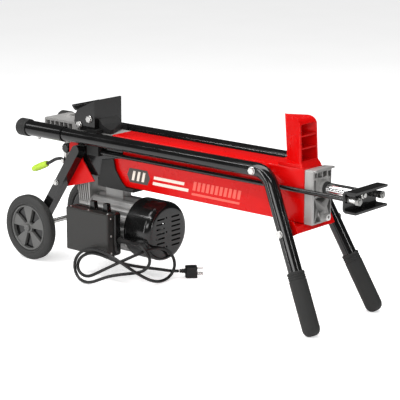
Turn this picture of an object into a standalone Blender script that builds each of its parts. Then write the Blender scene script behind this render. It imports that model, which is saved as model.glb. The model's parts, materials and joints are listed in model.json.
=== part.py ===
"""Electric log splitter: a hydraulic ram inside a beam pulls a pusher plate towards a fixed wedge.

Lengths are in metres.  +X runs along the beam from the motor end to the wedge, +Z is up and the
floor is Z = 0.  The operator stands on the -Y side, which is called near.
"""

import math

import bmesh
import bpy
from mathutils import Matrix, Vector

# ---------------------------------------------------------------- driving dimensions
GAP = 0.0003                    # clearance between pieces that touch

DATUM = (0.03635, -0.00220)     # where the beam's own centre lies, seen from the middle of the machine

BEAM_REAR_X = -0.235
BEAM_FRONT_X = 0.3107
BEAM_HALF_WIDTH = 0.032
BEAM_BOTTOM_Z = 0.205
BEAM_TOP_Z = 0.320
BEAM_WALL = 0.0035

RAM_Z = 0.280                   # axis of the cylinder and its rod
ROD_RADIUS = 0.011
BORE_RADIUS = 0.0195
CYLINDER_RADIUS = 0.0228
RAM_STROKE = 0.380

TIE_Y = 0.0402
TIE_Z = 0.2765
TIE_RADIUS = 0.005

RAIL_Y = 0.0661
RAIL_Z = 0.3112
RAIL_RADIUS = 0.015
RAIL_BORE = 0.013
RAIL_REAR_X = -0.4862
RAIL_BEND_RADIUS = 0.050
LEG_CORNER = Vector((0.2432, RAIL_Y, RAIL_Z))
LEG_FOOT = Vector((0.4007, 0.1117, 0.0))
GRIP_RADIUS = 0.0185
GRIP_LENGTH = 0.134

SLEEVE_RADIUS = 0.0178
SLEEVE_X = (-0.468, -0.352)
CAP_RADIUS = 0.0205
CAP_REAR_X = -0.5005

WHEEL_X = -0.4537
WHEEL_RADIUS = 0.0775
WHEEL_WIDTH = 0.028
NEAR_WHEEL_FACE_Y = -0.1000
FAR_WHEEL_FACE_Y = 0.1305
HUB_RADIUS = 0.0545
AXLE_RADIUS = 0.0060
RUNNING_FIT = 0.0001

WHEEL_LEG_SIDE = 0.0225
WHEEL_LEG_Y = (0.0457, 0.0707)
WHEEL_LEG_TILT = math.radians(34.5)

MOTOR_Z = 0.111
MOTOR_RADIUS = 0.058
MOTOR_FIN = 0.0055
MOTOR_X = (-0.2997, -0.1679)
FOOT_TOP_Z = 0.1962
COVER_RADIUS = 0.068
COVER_X = (-0.1675, -0.0925)
COVER_ROUND = 0.016
COVER_WALL = 0.0022

BOX_X = (-0.2990, -0.1656)
BOX_Y = (-0.1200, -0.0755)
BOX_Z = (0.0600, 0.1600)

WEB_X = (0.4240, 0.4290)
BRACKET_FRONT_X = 0.4565
BRACKET_HALF_WIDTH = 0.055
BRACKET_Z = (0.2515, 0.2965)

PUSHER_FACE_X = -0.277
PUSHER_HALF_WIDTH = 0.0442
PUSHER_TOP_Z = 0.394

LEVER_PIVOT = Vector((-0.3848, -0.0405, 0.2400))
LEVER_PIN = 0.0030

RAIL_BOLT_X = 0.2130
RAIL_BOLT_Z = RAIL_Z
LEG_BOLT_Z = 0.1950
LEG_BOLT_X = LEG_CORNER.x + (LEG_FOOT.x - LEG_CORNER.x) * (RAIL_Z - LEG_BOLT_Z) / RAIL_Z
BOLT_HOLE = 0.0044

REAR_LUG_X = -0.3880

SPOOL_RADIUS = 0.0050
SPOOL_Y = -0.0200
SPOOL_Z = 0.2480

PLUG_X = -0.3735
PLUG_Z = 0.2720
PLUG_SHANK = 0.0065

WHEEL_LEG_BOLT_X = -0.3790
WHEEL_LEG_BOLT_Z = 0.1940

HUB_BORE = AXLE_RADIUS + RUNNING_FIT
SHAFT_RADIUS = 0.0070
BEARING_RADIUS = 0.0160

PUMP_FACE_X = MOTOR_X[0] - GAP - 0.0126 - GAP
GEAR_TEETH = 12
GEAR_TIP = 0.0130
GEAR_ROOT = 0.0098
GEAR_CENTRES = 0.0230
GEAR_DEPTH = 0.0220

GLAND_Y = -0.0835
GLAND_Z = 0.0960
GLAND_LENGTH = 0.0340

CORD_RADIUS = 0.0035
CORD_START = (BOX_X[1] + GLAND_LENGTH + GAP, GLAND_Y, GLAND_Z)
CORD_ROUTE = [
    CORD_START, (-0.1100, -0.0850, 0.0962), (-0.0850, -0.0890, 0.0920),
    (-0.0715, -0.0820, 0.0700), (-0.0735, -0.0850, 0.0530), (-0.0860, -0.0920, 0.0390),
    (-0.0990, -0.1100, 0.0370),
    (-0.1350, -0.1430, 0.0330), (-0.1660, -0.1500, 0.0180), (-0.1990, -0.1520, 0.0032),
    (-0.2310, -0.1500, 0.0070),
    (-0.2480, -0.1460, 0.0270), (-0.2510, -0.1400, 0.0480), (-0.2380, -0.1350, 0.0680),
    (-0.2070, -0.1320, 0.0800),
    (-0.1680, -0.1330, 0.0800), (-0.1300, -0.1380, 0.0730), (-0.0840, -0.1200, 0.0450),
    (-0.0780, -0.0900, 0.0240),
    (-0.0860, -0.0460, 0.0034), (-0.0870, -0.0060, 0.0032), (-0.0830, 0.0110, 0.0240),
    (-0.0820, 0.0090, 0.0470),
    (-0.0840, -0.0040, 0.0670), (-0.0870, -0.0280, 0.0810), (-0.0870, -0.0570, 0.0850),
    (-0.0890, -0.0870, 0.0840),
    (-0.1170, -0.1290, 0.0650), (-0.1790, -0.1420, 0.0300), (-0.2090, -0.1420, 0.0130),
    (-0.2370, -0.1400, 0.0170),
    (-0.2500, -0.1360, 0.0340), (-0.2410, -0.1310, 0.0550), (-0.2150, -0.1270, 0.0680),
    (-0.1820, -0.1260, 0.0690),
    (-0.1190, -0.1240, 0.0570), (-0.0890, -0.0750, 0.0440), (-0.0900, -0.0250, 0.0290),
    (-0.0920, 0.0100, 0.0170),
    (-0.0860, 0.0260, 0.0150)]
PLUG_HEADING = math.radians(45.0)
PLUG_START = Vector((-0.0842, 0.0278, 0.0150))

BUTTON_Y = -0.0960
BUTTON_Z = 0.1200
BUTTON_RADIUS = 0.0110

ARM_Y = (0.0348, 0.0494)

# ---------------------------------------------------------------- materials
PALETTE = {
    "red_paint": ((0.62, 0.004, 0.004), 0.35, 0.0),
    "black_paint": ((0.012, 0.012, 0.012), 0.28, 0.0),
    "dark_paint": ((0.045, 0.045, 0.044), 0.50, 0.0),
    "rubber": ((0.035, 0.035, 0.034), 0.75, 0.0),
    "tyre_rubber": ((0.060, 0.060, 0.058), 0.80, 0.0),
    "hub_plastic": ((0.170, 0.170, 0.165), 0.55, 0.0),
    "box_plastic": ((0.040, 0.039, 0.037), 0.50, 0.0),
    "gloss_plastic": ((0.010, 0.010, 0.010), 0.18, 0.0),
    "cast_aluminium": ((0.42, 0.42, 0.41), 0.45, 0.9),
    "motor_aluminium": ((0.55, 0.54, 0.53), 0.38, 0.9),
    "zinc_steel": ((0.70, 0.70, 0.68), 0.25, 1.0),
    "chrome": ((0.80, 0.80, 0.80), 0.08, 1.0),
    "steel": ((0.35, 0.35, 0.35), 0.40, 1.0),
    "lime_plastic": ((0.38, 0.62, 0.03), 0.45, 0.0),
    "green_plastic": ((0.02, 0.30, 0.06), 0.40, 0.0),
    "cable": ((0.018, 0.018, 0.018), 0.50, 0.0),
}


def make_material(name):
    colour, roughness, metallic = PALETTE[name]
    material = bpy.data.materials.new(name)
    material.use_nodes = True
    shader = material.node_tree.nodes["Principled BSDF"]
    shader.inputs["Base Color"].default_value = (*colour, 1.0)
    shader.inputs["Roughness"].default_value = roughness
    shader.inputs["Metallic"].default_value = metallic
    return material


# ---------------------------------------------------------------- modelling helpers
def place(name, mesh_or_bm, material, origin=(0, 0, 0), parent=None, smooth=False):
    """Makes the object, with its origin at a point given in machine coordinates."""
    origin = Vector(origin)
    if isinstance(mesh_or_bm, bmesh.types.BMesh):
        bmesh.ops.translate(mesh_or_bm, vec=-origin, verts=mesh_or_bm.verts)
        bmesh.ops.recalc_face_normals(mesh_or_bm, faces=mesh_or_bm.faces)
        data = bpy.data.meshes.new(name)
        mesh_or_bm.to_mesh(data)
        mesh_or_bm.free()
        for polygon in data.polygons:
            polygon.use_smooth = smooth
    else:
        data = mesh_or_bm
    piece = bpy.data.objects.new(name, data)
    bpy.context.scene.collection.objects.link(piece)
    if material:
        piece.data.materials.append(MATERIALS[material])
    piece.parent = parent or GROUND
    offset = parent.location if parent else Vector((0, 0, 0))
    piece.location = origin - offset
    return piece


def block(low, high):
    shape = bmesh.new()
    size = Vector(high) - Vector(low)
    middle = (Vector(high) + Vector(low)) / 2
    bmesh.ops.create_cube(shape, size=1.0)
    bmesh.ops.scale(shape, vec=size, verts=shape.verts)
    bmesh.ops.translate(shape, vec=middle, verts=shape.verts)
    return shape


def prism(outline, axis, low, high):
    """A flat outline pushed along an axis.  Outlines are (x, z) for Y, (y, z) for X, (x, y) for Z."""
    def point(a, b, along):
        return {"X": (along, a, b), "Y": (a, along, b), "Z": (a, b, along)}[axis]

    shape = bmesh.new()
    ends = [[shape.verts.new(point(a, b, along)) for a, b in outline] for along in (low, high)]
    shape.faces.new(ends[0])
    shape.faces.new(ends[1])
    for i in range(len(outline)):
        j = (i + 1) % len(outline)
        shape.faces.new((ends[0][i], ends[0][j], ends[1][j], ends[1][i]))
    bmesh.ops.recalc_face_normals(shape, faces=shape.faces)
    return shape


def turned(profile, centre, axis, steps=24):
    """A closed (along, radius) profile turned about an axis through centre."""
    named = {"X": (1, 0, 0), "Y": (0, 1, 0), "Z": (0, 0, 1)}
    direction = Vector(named[axis] if isinstance(axis, str) else axis).normalized()
    side = direction.orthogonal().normalized()
    up = direction.cross(side)
    centre = Vector(centre)
    shape = bmesh.new()
    rings = []
    for along, radius in profile:
        base = centre + direction * along
        if radius < 1e-7:
            rings.append([shape.verts.new(base)])
            continue
        turns = [2 * math.pi * k / steps for k in range(steps)]
        rings.append([shape.verts.new(base + (side * math.cos(t) + up * math.sin(t)) * radius)
                      for t in turns])
    for first, second in zip(rings, rings[1:] + rings[:1]):
        if len(first) == 1 and len(second) == 1:
            continue
        for k in range(steps):
            n = (k + 1) % steps
            corners = [first[k % len(first)], first[n % len(first)],
                       second[n % len(second)], second[k % len(second)]]
            unique = []
            for corner in corners:
                if corner not in unique:
                    unique.append(corner)
            shape.faces.new(unique)
    bmesh.ops.recalc_face_normals(shape, faces=shape.faces)
    return shape


def rod(start, end, radius, steps=24):
    """A plain solid cylinder between two points."""
    start, end = Vector(start), Vector(end)
    length = (end - start).length
    return turned([(0, 0), (0, radius), (length, radius), (length, 0)], start, end - start, steps)


def sweep(path, section_rings, closed_ends=True):
    """Rings of points carried along a path: outer ring only, or an outer and an inner ring."""
    shape = bmesh.new()
    path = [Vector(p) for p in path]
    side = Vector((0, 1, 0))
    loops = []
    for i, point in enumerate(path):
        before = (point - path[i - 1]).normalized() if i else (path[1] - point).normalized()
        after = (path[i + 1] - point).normalized() if i + 1 < len(path) else before
        along = (before + after).normalized()
        across = (side - along * side.dot(along)).normalized()
        up = along.cross(across)
        loops.append([[shape.verts.new(point + across * a + up * b) for a, b in ring]
                      for ring in section_rings])
    count = len(section_rings[0])
    for first, second in zip(loops, loops[1:]):
        for ring in range(len(section_rings)):
            for k in range(count):
                n = (k + 1) % count
                shape.faces.new((first[ring][k], first[ring][n], second[ring][n], second[ring][k]))
    for end in (loops[0], loops[-1]):
        if len(section_rings) == 1:
            shape.faces.new(end[0])
        else:
            for k in range(count):
                n = (k + 1) % count
                shape.faces.new((end[0][k], end[0][n], end[1][n], end[1][k]))
    bmesh.ops.recalc_face_normals(shape, faces=shape.faces)
    return shape


def circle(radius, steps=14):
    turns = [2 * math.pi * (k + 0.5) / steps for k in range(steps)]
    return [(radius * math.cos(t), radius * math.sin(t)) for t in turns]


def bend(start, corner, end, radius, steps=6):
    """Points of a straight-arc-straight line through a rounded corner."""
    start, corner, end = Vector(start), Vector(corner), Vector(end)
    towards_start = (start - corner).normalized()
    towards_end = (end - corner).normalized()
    half = towards_start.angle(towards_end) / 2
    setback = radius / math.tan(half)
    centre = corner + (towards_start + towards_end).normalized() * (radius / math.sin(half))
    first = corner + towards_start * setback - centre
    last = corner + towards_end * setback - centre
    points = [start]
    for k in range(steps + 1):
        points.append(centre + first.normalized().slerp(last.normalized(), k / steps) * radius)
    return points + [end]


def arc(centre, radius, start, end, steps):
    """Points of an arc in a plane, angles in degrees."""
    angles = [math.radians(start + (end - start) * k / steps) for k in range(steps + 1)]
    return [(centre[0] + radius * math.cos(a), centre[1] + radius * math.sin(a)) for a in angles]


def helper(shape, name):
    """A hidden solid that a Boolean uses."""
    data = bpy.data.meshes.new(name)
    bmesh.ops.recalc_face_normals(shape, faces=shape.faces)
    shape.to_mesh(data)
    shape.free()
    tool = bpy.data.objects.new(name, data)
    bpy.context.scene.collection.objects.link(tool)
    tool.parent = GROUND
    tool.hide_render = True
    tool.display_type = "WIRE"
    return tool


def combine(piece, operation, *shapes):
    for shape in shapes:
        tool = helper(shape, "cutter" if operation == "DIFFERENCE" else "addition")
        change = piece.modifiers.new(operation.title(), "BOOLEAN")
        change.operation = operation
        change.object = tool
        change.solver = "EXACT"
    return piece


def cut(piece, *shapes):
    return combine(piece, "DIFFERENCE", *shapes)


def add(piece, *shapes):
    return combine(piece, "UNION", *shapes)


def soften(piece, width, segments=1, angle=40):
    """Rounds the sharp edges of a moulded or cast piece."""
    edge = piece.modifiers.new("Edges", "BEVEL")
    edge.width = width
    edge.segments = segments
    edge.limit_method = "ANGLE"
    edge.angle_limit = math.radians(angle)
    return piece


# ---------------------------------------------------------------- frame
def build_beam():
    """The box-section beam, with the bosses that the log rails bolt to."""
    rear_corner = [(-0.2000, BEAM_BOTTOM_Z), (-0.2170, 0.2220), (-0.2325, 0.2455), (BEAM_REAR_X, 0.2615)]
    side = [(BEAM_REAR_X, BEAM_TOP_Z), (BEAM_FRONT_X, BEAM_TOP_Z), (BEAM_FRONT_X, BEAM_BOTTOM_Z)]
    beam = place("beam_body", prism(side + rear_corner, "Y", -BEAM_HALF_WIDTH, BEAM_HALF_WIDTH),
                 "red_paint")
    soften(beam, 0.003, 2)
    inner_y = BEAM_HALF_WIDTH - BEAM_WALL
    cut(beam, block((-0.30, -inner_y, BEAM_BOTTOM_Z + BEAM_WALL), (0.35, inner_y, BEAM_TOP_Z - BEAM_WALL)))
    for sign in (-1, 1):
        inner = Vector((RAIL_BOLT_X, sign * (BEAM_HALF_WIDTH - 0.001), RAIL_BOLT_Z))
        outer = Vector((RAIL_BOLT_X, sign * (RAIL_Y - RAIL_RADIUS - GAP), RAIL_BOLT_Z))
        add(beam, rod(inner, outer, 0.0095, 20))
    cut(beam, rod((RAIL_BOLT_X, -0.1, RAIL_BOLT_Z), (RAIL_BOLT_X, 0.1, RAIL_BOLT_Z), BOLT_HOLE, 16))


def build_wedge():
    """The splitting wedge: a vertical blade edge that widens to a ribbed open back."""
    base_z = BEAM_TOP_Z + GAP
    top_z = 0.4222
    back_x = 0.2955
    round_radius = 0.018
    lean = 0.008
    profile = [(0.2425, base_z), (0.2425 - lean, top_z)]
    profile += arc((back_x - round_radius, top_z - round_radius), round_radius, 90, 0, 6)
    profile += [(back_x + 0.004, base_z + 0.012), (back_x + 0.012, base_z)]
    wedge = place("wedge", prism(profile, "Y", -0.031, 0.031), "red_paint")
    for sign in (-1, 1):
        plan = [(0.225, sign * 0.0006), (0.225, sign * 0.06), (0.330, sign * 0.06), (0.330, sign * 0.0305),
                (0.2950, sign * 0.0290), (0.2405, sign * 0.0006)]
        cut(wedge, prism(plan, "Z", base_z + 0.007, top_z + 0.01))
    levels = (0.3330, 0.3575, 0.3600, 0.3835, 0.3860, 0.4085)
    for low, high in zip(levels[::2], levels[1::2]):
        pocket = [(0.269, -0.0105), (0.269, 0.0105), (0.2960, 0.0245), (0.33, 0.0245), (0.33, -0.0245),
                  (0.2960, -0.0245)]
        cut(wedge, prism(pocket, "Z", low, high))


def build_front_head():
    """The cast head that closes the cylinder and guides the piston rod."""
    rear_x = BEAM_FRONT_X + GAP
    face_x = 0.3340
    low, high = BEAM_BOTTOM_Z - 0.0005, 0.3185
    head = place("front_head", block((rear_x, -BEAM_HALF_WIDTH, low), (face_x, BEAM_HALF_WIDTH, high)),
                 "cast_aluminium")
    soften(head, 0.0025, 2)
    ledge = [(rear_x + 0.002, high - 0.004), (rear_x + 0.002, high + 0.0005),
             (face_x + 0.006, high + 0.003),
             (face_x + 0.007, high - 0.001)]
    add(head, prism(ledge, "Y", -BEAM_HALF_WIDTH + 0.002, BEAM_HALF_WIDTH))
    pocket_depth = 0.009
    upper = [(0.3035, 0.3130, -0.0275, -0.0195), (0.3020, 0.3135, -0.0165, -0.0035),
             (0.3020, 0.3135, 0.0005, 0.0145), (0.3000, 0.3120, 0.0185, 0.0275),
             (0.2640, 0.2990, -0.0285, -0.0225), (0.2640, 0.2960, 0.0225, 0.0285)]
    for z0, z1, y0, y1 in upper:
        cut(head, block((face_x - pocket_depth, y0, z0), (face_x + 0.01, y1, z1)))
    webs = [[(-0.0275, 0.2590), (-0.0275, 0.2160), (-0.0160, 0.2370)],
            [(0.0275, 0.2590), (0.0275, 0.2160), (0.0160, 0.2370)],
            [(-0.0240, 0.2600), (0.0240, 0.2600), (0.0000, 0.2480)],
            [(-0.0245, 0.2090), (-0.0135, 0.2320), (-0.0030, 0.2090)],
            [(0.0245, 0.2090), (0.0135, 0.2320), (0.0220, 0.2090)]]
    for outline in webs:
        cut(head, prism(outline, "X", face_x - pocket_depth, face_x + 0.01))
    boss = [(0.0, 0.0), (0.0, 0.0165), (0.0305, 0.0165), (0.0315, 0.0155), (0.0315, 0.0)]
    add(head, turned(boss, (rear_x + 0.001, 0, RAM_Z), "X", 28))
    add(head, turned([(0, 0), (0, 0.0075), (0.0275, 0.0075), (0.0275, 0)],
                     (rear_x + 0.001, 0.0120, 0.2165), "X", 20))
    spigot = BORE_RADIUS - GAP
    add(head, turned([(0, 0), (0, spigot), (0.013, spigot), (0.013, 0)], (rear_x - 0.010, 0, RAM_Z), "X",
                     28))
    cut(head, rod((0.28, 0, RAM_Z), (0.40, 0, RAM_Z), ROD_RADIUS + 0.0004, 32))


def build_rear_casting():
    """The cast valve block, which also closes the rear of the cylinder and carries the rails."""
    front_x = BEAM_REAR_X - GAP
    half = BEAM_HALF_WIDTH - GAP
    outline = [(-0.4550, 0.2860), (-0.4550, 0.3300), (-0.4520, 0.3345), (-0.3540, 0.3345),
               (-0.3450, 0.3192),
               (front_x, 0.3192), (front_x, 0.2250), (-0.3700, 0.2250), (-0.3880, 0.2330),
               (-0.3900, 0.2860)]
    casting = place("rear_casting", prism(outline, "Y", -half, half), "cast_aluminium")
    for k in range(6):
        start = -0.4490 + 0.0148 * k
        for sign in (-1, 1):
            depth = sorted((sign * (half - 0.010), sign * (half + 0.01)))
            cut(casting, block((start, depth[0], 0.3130), (start + 0.0118, depth[1], 0.3285)))
    add(casting, turned([(0, 0), (0, 0.0125), (0.0085, 0.0110), (0.0085, 0)], (-0.4180, 0.0150, 0.3320),
                        "Z", 24))
    for sign in (-1, 1):
        inner = (REAR_LUG_X, sign * (half - 0.002), 0.3000)
        outer = (REAR_LUG_X, sign * (RAIL_Y - SLEEVE_RADIUS - GAP), 0.3000)
        add(casting, rod(inner, outer, 0.0100, 20))
    spigot = BORE_RADIUS - GAP
    add(casting, rod((front_x - 0.003, 0, RAM_Z), (front_x + 0.0120, 0, RAM_Z), spigot, 28))
    spool = Vector((-0.3400, SPOOL_Y, SPOOL_Z))
    cut(casting, rod((-0.4000, SPOOL_Y, SPOOL_Z), spool, SPOOL_RADIUS + RUNNING_FIT, 24))
    cut(casting, rod((-0.3700, 0.0, RAM_Z), (-0.2000, 0.0, RAM_Z), 0.0040, 12))
    cut(casting, rod((PLUG_X, -0.06, PLUG_Z), (PLUG_X, -half + 0.0100, PLUG_Z), PLUG_SHANK + GAP, 20))


def build_cylinder():
    length = (BEAM_FRONT_X - GAP) - (BEAM_REAR_X + GAP)
    profile = [(0, BORE_RADIUS), (0, CYLINDER_RADIUS), (length, CYLINDER_RADIUS), (length, BORE_RADIUS)]
    place("cylinder_tube", turned(profile, (BEAM_REAR_X + GAP, 0, RAM_Z), "X", 28), "steel", smooth=True)
    wiper = [(0, ROD_RADIUS + 0.0003), (0, 0.0145), (0.004, 0.0145), (0.006, 0.0125),
             (0.006, ROD_RADIUS + 0.0003)]
    place("rod_wiper", turned(wiper, (0.3438, 0, RAM_Z), "X", 28), "rubber", smooth=True)


def build_yoke():
    """The black yoke that joins the beam to the rear casting."""
    plate = [(-0.3480, 0.2650), (-0.3480, 0.3020), (-0.2000, 0.3020), (-0.2000, 0.2700), (-0.2620, 0.2600),
             (-0.2750, 0.2185), (-0.3100, 0.2185), (-0.3150, 0.2400)]
    inner = BEAM_HALF_WIDTH + GAP
    yoke = place("rear_yoke", prism(plate, "Y", -inner - 0.002, -inner), "black_paint")
    add(yoke, prism(plate, "Y", inner, inner + 0.002))
    add(yoke, block((-0.3100, -inner - 0.002, 0.2185), (-0.2750, inner + 0.002, 0.2245)))


def build_saddle():
    """The dark saddle that holds the motor's foot under the beam: a base and two cheeks."""
    top = 0.2180
    inner = BEAM_HALF_WIDTH + GAP + 0.002 + GAP
    cheek = [(-0.2765, 0.1965), (-0.2765, 0.2030), (-0.2620, 0.2600), (-0.2260, 0.2670), (-0.2205, 0.2425),
             (-0.2000, 0.2150), (-0.1830, 0.2020), (-0.1660, 0.1965)]
    saddle = place("motor_saddle", prism(cheek, "Y", -inner - 0.003, -inner), "dark_paint")
    add(saddle, prism(cheek, "Y", inner, inner + 0.003))
    base = [(-0.2765, FOOT_TOP_Z + GAP), (-0.2765, top), (-0.2420, top), (-0.2200, 0.2046),
            (-0.1660, 0.2046),
            (-0.1640, FOOT_TOP_Z + GAP)]
    add(saddle, prism(base, "Y", -inner - 0.003, inner + 0.003))


def build_front_leg_bracket():
    """The red plate across the front legs, folded into a flange beside each leg."""
    half = 0.0640
    lip = [(0.2700, 0.2015), (0.2700, 0.2042), (0.3120, 0.2042), (0.3205, 0.1925), (0.3178, 0.1905),
           (0.3100, 0.2015)]
    bracket = place("front_leg_bracket", prism(lip, "Y", -half, half), "red_paint")
    flange = [(0.2760, 0.1900), (0.2760, 0.2080), (0.2840, 0.2150), (0.3080, 0.2150), (0.3205, 0.1925),
              (0.3100, 0.1860),
              (0.2850, 0.1860)]
    for sign in (-1, 1):
        edges = sorted((sign * half, sign * (half - 0.003)))
        add(bracket, prism(flange, "Y", *edges))
    cut(bracket, rod((LEG_BOLT_X, -0.2, LEG_BOLT_Z), (LEG_BOLT_X, 0.2, LEG_BOLT_Z), BOLT_HOLE, 16))


def build_rear_leg_bracket():
    """The red bracket between the wheel legs: two side plates and a cross plate."""
    outer = WHEEL_LEG_Y[0] - GAP
    side = [(-0.3722, 0.1810), (-0.2796, 0.2072), (-0.3158, 0.2513), (-0.3330, 0.2920), (-0.3530, 0.2920),
            (-0.3590, 0.2840), (-0.3600, 0.2600), (-0.3700, 0.2400), (-0.3860, 0.2050), (-0.3860, 0.1850)]
    bracket = place("rear_leg_bracket", prism(side, "Y", -outer, -outer + 0.003), "red_paint")
    add(bracket, prism(side, "Y", outer - 0.003, outer))
    add(bracket, block((-0.3725, -outer + 0.001, 0.1860), (-0.3695, outer - 0.001, 0.2220)))
    cut(bracket, rod((WHEEL_LEG_BOLT_X, -0.2, WHEEL_LEG_BOLT_Z),
                     (WHEEL_LEG_BOLT_X, 0.2, WHEEL_LEG_BOLT_Z), BOLT_HOLE, 16))


# ---------------------------------------------------------------- rails, legs and feet
def leg_point(z, sign=1):
    """The point of a leg's axis at a height."""
    share = (RAIL_Z - z) / RAIL_Z
    point = LEG_CORNER.lerp(LEG_FOOT, share)
    return Vector((point.x, sign * point.y, point.z))


def build_rail(side, sign):
    start = Vector((RAIL_REAR_X, sign * RAIL_Y, RAIL_Z))
    corner = Vector((LEG_CORNER.x, sign * RAIL_Y, RAIL_Z))
    end = leg_point(0.024, sign)
    path = bend(start, corner, end, RAIL_BEND_RADIUS)
    rail = place(f"rail_{side}", sweep(path, [circle(RAIL_RADIUS), circle(RAIL_BORE)]), "black_paint",
                 smooth=True)
    reach = sorted((sign * 0.03, sign * 0.13))
    for x, z in ((RAIL_BOLT_X, RAIL_BOLT_Z), (LEG_BOLT_X, LEG_BOLT_Z)):
        cut(rail, rod((x, reach[0], z), (x, reach[1], z), BOLT_HOLE, 16))
    sleeve = [(0, RAIL_RADIUS + GAP), (0, SLEEVE_RADIUS), (SLEEVE_X[1] - SLEEVE_X[0], SLEEVE_RADIUS),
              (SLEEVE_X[1] - SLEEVE_X[0], RAIL_RADIUS + GAP)]
    place(f"rear_sleeve_{side}", turned(sleeve, (SLEEVE_X[0], sign * RAIL_Y, RAIL_Z), "X", 28),
          "black_paint",
          smooth=True)
    depth = SLEEVE_X[0] - GAP - CAP_REAR_X
    floor = RAIL_REAR_X - GAP - CAP_REAR_X
    cap = [(0, 0), (0, CAP_RADIUS - 0.004), (0.0015, CAP_RADIUS - 0.0015), (0.004, CAP_RADIUS),
           (depth, CAP_RADIUS),
           (depth, RAIL_RADIUS + GAP), (floor, RAIL_RADIUS + GAP), (floor, 0)]
    place(f"rear_cap_{side}", turned(cap, (CAP_REAR_X, sign * RAIL_Y, RAIL_Z), "X", 28), "rubber",
          smooth=True)


def build_foot_grip(side, sign):
    """A rubber grip on the end of a leg, with a small flat on its domed end for the floor."""
    foot = leg_point(0.0, sign)
    along = (leg_point(0.1, sign) - foot).normalized()
    lift = 0.0035
    bottom = foot + along * lift
    dome = [(GRIP_RADIUS * 0.85 * (1 - math.cos(t)), GRIP_RADIUS * (0.30 + 0.70 * math.sin(t)))
            for t in (math.radians(a) for a in (0, 25, 50, 75, 90))]
    inner_end = 0.0250 / along.z - lift
    profile = [(0, 0)] + dome
    profile += [(GRIP_LENGTH - 0.002, GRIP_RADIUS), (GRIP_LENGTH, GRIP_RADIUS - 0.0015),
                (GRIP_LENGTH, RAIL_RADIUS + GAP),
                (inner_end - 0.0030, RAIL_RADIUS + GAP), (inner_end - 0.0030, 0)]
    grip = place(f"foot_grip_{side}", turned(profile, bottom, along, 28), "rubber", smooth=True)
    cut(grip, block((foot.x - 0.1, foot.y - 0.1, -0.05), (foot.x + 0.1, foot.y + 0.1, 0.0)))


def through_bolt(name, x, z, half_span, head_radius=0.0080, shank=0.0040):
    """A long bolt along Y with a head at one end and a nut at the other."""
    head = 0.0055
    profile = [(-half_span - head, 0), (-half_span - head, head_radius * 0.72),
               (-half_span - head + 0.0012, head_radius),
               (-half_span, head_radius), (-half_span, shank), (half_span, shank), (half_span, head_radius),
               (half_span + head - 0.0012, head_radius), (half_span + head, head_radius * 0.72),
               (half_span + head, 0)]
    return place(name, turned(profile, (x, 0, z), "Y", 16), "zinc_steel")


def build_frame_bolts():
    through_bolt("rail_bolt", RAIL_BOLT_X, RAIL_BOLT_Z, RAIL_Y + RAIL_RADIUS + GAP, 0.0085)
    through_bolt("leg_bolt", LEG_BOLT_X, LEG_BOLT_Z, leg_point(LEG_BOLT_Z).y + RAIL_RADIUS + 0.0018, 0.0080)
    through_bolt("wheel_leg_bolt", WHEEL_LEG_BOLT_X, WHEEL_LEG_BOLT_Z, WHEEL_LEG_Y[1] + GAP, 0.0070, 0.0032)


# ---------------------------------------------------------------- wheels
def build_wheel_leg(side, sign):
    """A square tube from beside the rear casting down to the axle."""
    down = Vector((-math.sin(WHEEL_LEG_TILT), 0, -math.cos(WHEEL_LEG_TILT)))
    across = Vector((math.cos(WHEEL_LEG_TILT), 0, -math.sin(WHEEL_LEG_TILT)))
    axle = Vector((WHEEL_X, 0, WHEEL_RADIUS))
    reach = 0.2560
    half = WHEEL_LEG_SIDE / 2
    top_round = arc((reach - half, 0), half, 90, -90, 6)
    foot_round = arc((0, 0), half, 270, 90, 6)
    outline = [axle - down * along + across * off for along, off in top_round + foot_round]
    y0, y1 = sorted((sign * WHEEL_LEG_Y[0], sign * WHEEL_LEG_Y[1]))
    leg = place(f"wheel_leg_{side}", prism([(p.x, p.z) for p in outline], "Y", y0, y1), "black_paint")
    hole = WHEEL_LEG_SIDE / 2 - 0.002
    inside = [(-0.03, -hole), (-0.03, hole), (reach - 0.03, hole), (reach - 0.03, -hole)]
    bore = [axle - down * along + across * off for along, off in inside]
    cut(leg, prism([(p.x, p.z) for p in bore], "Y", y0 + 0.002, y1 - 0.002))
    cut(leg, rod((WHEEL_X, -0.2, WHEEL_RADIUS), (WHEEL_X, 0.2, WHEEL_RADIUS), AXLE_RADIUS + GAP, 20))
    cut(leg, rod((WHEEL_LEG_BOLT_X, -0.2, WHEEL_LEG_BOLT_Z), (WHEEL_LEG_BOLT_X, 0.2, WHEEL_LEG_BOLT_Z),
                 0.0036, 16))


def build_axle():
    """One axle rod through both wheel legs, with a retaining head outside each wheel."""
    near = NEAR_WHEEL_FACE_Y - GAP
    far = FAR_WHEEL_FACE_Y + GAP
    collar, shoulder = 0.0085, 0.0100
    shoulder_start = WHEEL_LEG_Y[1] + GAP
    shoulder_end = FAR_WHEEL_FACE_Y - WHEEL_WIDTH - GAP
    profile = [(near - 0.0012, 0), (near - 0.0012, 0.0075), (near + 0.0028, collar),
               (near + 0.0045, collar),
               (near + 0.0045, AXLE_RADIUS), (shoulder_start, AXLE_RADIUS), (shoulder_start, shoulder),
               (shoulder_end, shoulder), (shoulder_end, AXLE_RADIUS), (far - 0.0045, AXLE_RADIUS),
               (far - 0.0045, collar),
               (far - 0.0028, collar), (far + 0.0012, 0.0075), (far + 0.0012, 0)]
    place("axle", turned(profile, (WHEEL_X, 0, WHEEL_RADIUS), "Y"), "zinc_steel")


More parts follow.
